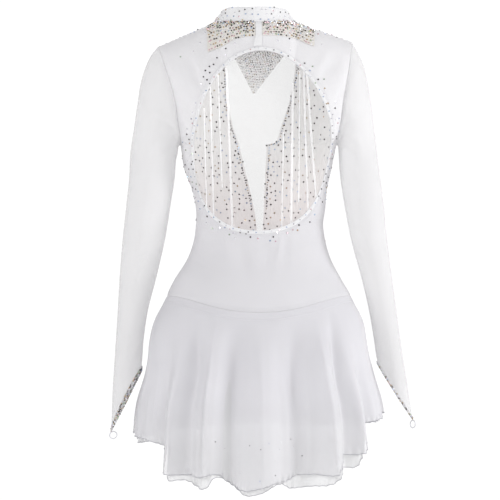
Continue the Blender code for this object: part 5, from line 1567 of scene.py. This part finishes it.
def skirt_layer(name, layer, side_name, side, material):
    """One half of a layer of the skirt, with its small folds and rippled rolled hem. Returns its patch."""
    turn = np.linspace(-QUARTER, QUARTER, SKIRT_FINE_COLUMNS + 1)[None, :]
    drop = (np.linspace(0, 1, SKIRT_FINE_ROWS + 1) ** SKIRT_ROW_POWER)[:, None]
    angle = full_angle(side, turn)
    small = np.zeros(np.broadcast(turn, drop).shape)
    for fold in FINE_FOLDS:
        off = degrees_off(angle, fold.angle + layer.fold_shift)
        small = small + fold.height * bell(off, fold.half_width) * ease((drop - fold.start) / FINE_FOLD_FADE)
    side_fade = ease((QUARTER - np.abs(turn)) / SKIRT_SIDE_FADE)
    plain = skirt_point(side, turn, drop, layer, small * side_fade)
    length = run_along(plain[-1])
    phase = 2 * math.pi * length / RIPPLE_PITCH
    for size, rate, start in RIPPLE_DRIFTS:
        phase = phase + size * np.sin(length * rate + start)
    swell = RIPPLE_EVEN + (1 - RIPPLE_EVEN) * np.sin(length * RIPPLE_SWELL_RATE + side)
    at_hem = ease((drop - RIPPLE_START) / (1 - RIPPLE_START)) * side_fade
    ripple = RIPPLE_HEIGHT * swell * np.sin(phase) * at_hem
    grid = skirt_point(side, turn, drop, layer, small * side_fade + ripple - seam_dip(drop * SKIRT_DROP))
    grid[..., 2] += RIPPLE_LIFT * swell * np.cos(phase + RIPPLE_LIFT_START) * at_hem
    piece = "skirt_" + name + "_" + side_name
    patch = sewn(piece, grid, CHIFFON_CLOTH, [material])
    line = grid[-1] - patch.normals[-1] * CHIFFON_CLOTH / 2
    cord_along(piece + "_hem", line, patch.normals[-1], HEM_CORD, "hem")
    return patch


def briefs(side_name, side):
    """Half of the built-in briefs."""
    share = np.linspace(-1, 1, BRIEFS_FINE_COLUMNS + 1)[None, :]
    drop = np.linspace(0, 1, BRIEFS_FINE_ROWS + 1)[:, None]
    share, drop = np.broadcast_arrays(share, drop)
    grid, inner = (briefs_point(side, share, drop, out) for out in (BRIEFS_OUT, BRIEFS_OUT - BRIEFS_INNER))
    sewn("briefs_" + side_name, grid, CLOTH, ["briefs"], inner)


def chance_on_back(points):
    """How likely a loose stone is on the back: by the rim of the open back and, seldom, on the shoulders."""
    x, z = points[:, 0], points[:, 2]
    way = np.arctan2(z - KEYHOLE_Z, x - KEYHOLE_X)
    ring = np.hypot(x - KEYHOLE_X, z - KEYHOLE_Z) / keyhole_reach(way)
    side = np.where(x < 0, RIM_CHANCE_LEFT, RIM_CHANCE_RIGHT)
    rim = side * bell(ring - RIM_RING, RIM_SPREAD) * (z < RIM_TOP_Z)
    shoulders = SHOULDER_CHANCE * (z > SHOULDER_LOW_Z) * (np.abs(x) < SHOULDER_REACH)
    return np.clip(rim + shoulders, 0, 1)


def chance_on_collar(points):
    """How likely a stone is on the collar, the same all over."""
    return np.full(len(points), COLLAR_CHANCE)


def chance_on_panel(side_name, sign, points):
    """How likely a stone is on a front panel: in a row by its inner edge, and fewer further off."""
    x, z = points[:, 0], points[:, 2]
    off = sign * (x - insert_edge_x(z, side_name))
    row = EDGE_ROW_CHANCE * bell(off - EDGE_ROW_OFF, EDGE_ROW_OFF)
    field = PANEL_CHANCE * bell(off, PANEL_CHANCE_REACH) * ease((z - PANEL_CHANCE_LOW_Z) / PANEL_CHANCE_FADE)
    return np.clip(row + field, 0, 1) * (z > PANEL_STONES_LOW_Z)


def chance_on_skirt(points):
    """How likely a stone is on the skirt: only low down, near its hem."""
    return HEM_CHANCE * ease((HEM_CHANCE_Z - points[:, 2]) / HEM_CHANCE_FADE)


def make_dress():
    """Every piece of the dress, with its stones and stitches."""
    back = back_bodice()
    panels = front()
    collar = stand_collar()
    sleeves = {name: sleeve(name, sign) for name, sign in SIDES.items()}
    skirts = {name: skirt_layer("upper", UPPER, name, side, "chiffon") for name, side in HALVES.items()}
    for name, side in HALVES.items():
        skirt_layer("under", UNDER, name, side, "under")
    for name, side in HALVES.items():
        briefs(name, side)

    scattered_stones("back_bodice", back, chance_on_back)
    scattered_stones("stand_collar", collar, chance_on_collar)
    for name, sign in SIDES.items():
        node = "front_panel_" + name
        wanted = partial(chance_on_panel, name, sign)
        points, normals = scattered_stones(node, panels[name], wanted)
        backs = points - normals * CLOTH, -normals
        seed = BACKING_SEEDS[name]
        stones(node + "_stone_backs", backs, BACKING_SIZE, BACKING_MIX, seed, BACKING_SIDES, BACKING_RISE)
    for name, patch in skirts.items():
        scattered_stones("skirt_upper_" + name, patch, chance_on_skirt)

    waist = slice(0, BOTTOM_COLUMNS * BACK_FINE + 1)
    round_hole = stitch_line(back, BINDING_FINE + 1, closed=True)
    stitches("back_bodice", [stitch_line(back, END_STITCHES, waist), round_hole])
    for name, patch in panels.items():
        sides = [stitch_line(patch, columns=column) for column in (START_STITCHES, END_STITCHES)]
        stitches("front_panel_" + name, [stitch_line(patch, START_STITCHES), *sides])
    for name, patch in sleeves.items():
        underarm = stitch_line(patch, slice(START_STITCHES, -SLEEVE_FINE - START_STITCHES), 0)
        stitches("sleeve_" + name, [stitch_line(patch, START_STITCHES, closed=True), underarm])
    stitches("stand_collar", [stitch_line(collar, row) for row in COLLAR_STITCHES])
    for name, patch in skirts.items():
        stitches("skirt_upper_" + name, [stitch_line(patch, START_STITCHES)])


def aim(thing, place, target):
    """Puts a light or camera at a place, turned to a target."""
    thing.location = place
    way = Vector(target) - Vector(place)
    thing.rotation_euler = way.to_track_quat("-Z", "Y").to_euler()


def studio():
    """The camera, the lights, the white surroundings and the pale floor."""
    lens = bpy.data.cameras.new("camera")
    lens.lens = CAMERA_LENS
    lens.sensor_width = CAMERA_SENSOR
    lens.clip_start, lens.clip_end = CAMERA_CLIP
    camera = in_scene("camera", lens)
    distance = FRAME_WIDTH * CAMERA_LENS / CAMERA_SENSOR
    aim(camera, (FRAME_X, -distance, FRAME_Z), (FRAME_X, 0, FRAME_Z))
    bpy.context.scene.camera = camera

    for name, place, size, power in LIGHTS:
        light = bpy.data.lights.new(name, "AREA")
        light.shape = "DISK"
        light.size = size
        light.energy = power
        aim(in_scene(name, light), place, (0, 0, FRAME_Z))

    world = bpy.data.worlds.new("studio")
    bpy.context.scene.world = world
    world.use_nodes = True
    tree = world.node_tree
    seen = tree.nodes["Background"]
    set_inputs(tree, seen, {"Color": (1, 1, 1, 1), "Strength": BACKDROP})
    around = add_node(tree, "Background", "Background", {"Color": AMBIENT_COLOUR, "Strength": AMBIENT})
    direct = add_node(tree, "LightPath", "Is Camera Ray", {})
    both = add_node(tree, "MixShader", "Shader", {"Fac": direct, 1: around, 2: seen.outputs["Background"]})
    set_inputs(tree, tree.nodes["World Output"], {"Surface": both})

    material, tree, shader = node_material("pale_floor")
    grain = add_node(tree, "TexNoise", "Fac", {"Scale": FLOOR_GRAIN})
    tone = add_node(tree, "MapRange", "Result", {"Value": grain, "To Min": FLOOR_LOW, "To Max": FLOOR_HIGH})
    set_inputs(tree, shader, {"Base Color": tone, "Roughness": FLOOR_ROUGHNESS})
    angles = circle(FLOOR_SIDES)
    heights = np.full(FLOOR_SIDES, FLOOR_Z)
    rim = np.stack([FLOOR_RADIUS * np.cos(angles), FLOOR_RADIUS * np.sin(angles), heights], axis=-1)
    mesh = bpy.data.meshes.new("floor")
    mesh.from_pydata(rim.tolist(), [], [list(range(FLOOR_SIDES))])
    mesh.materials.append(material)
    floor = in_scene("floor", mesh)
    bpy.context.scene.view_settings.view_transform = "Standard"


make_dress()
studio()

# The cut of a sheet as it shows: width, length, flat area and how it is held. A tube's width is all round it
Cut = namedtuple("Cut", "width length area held")
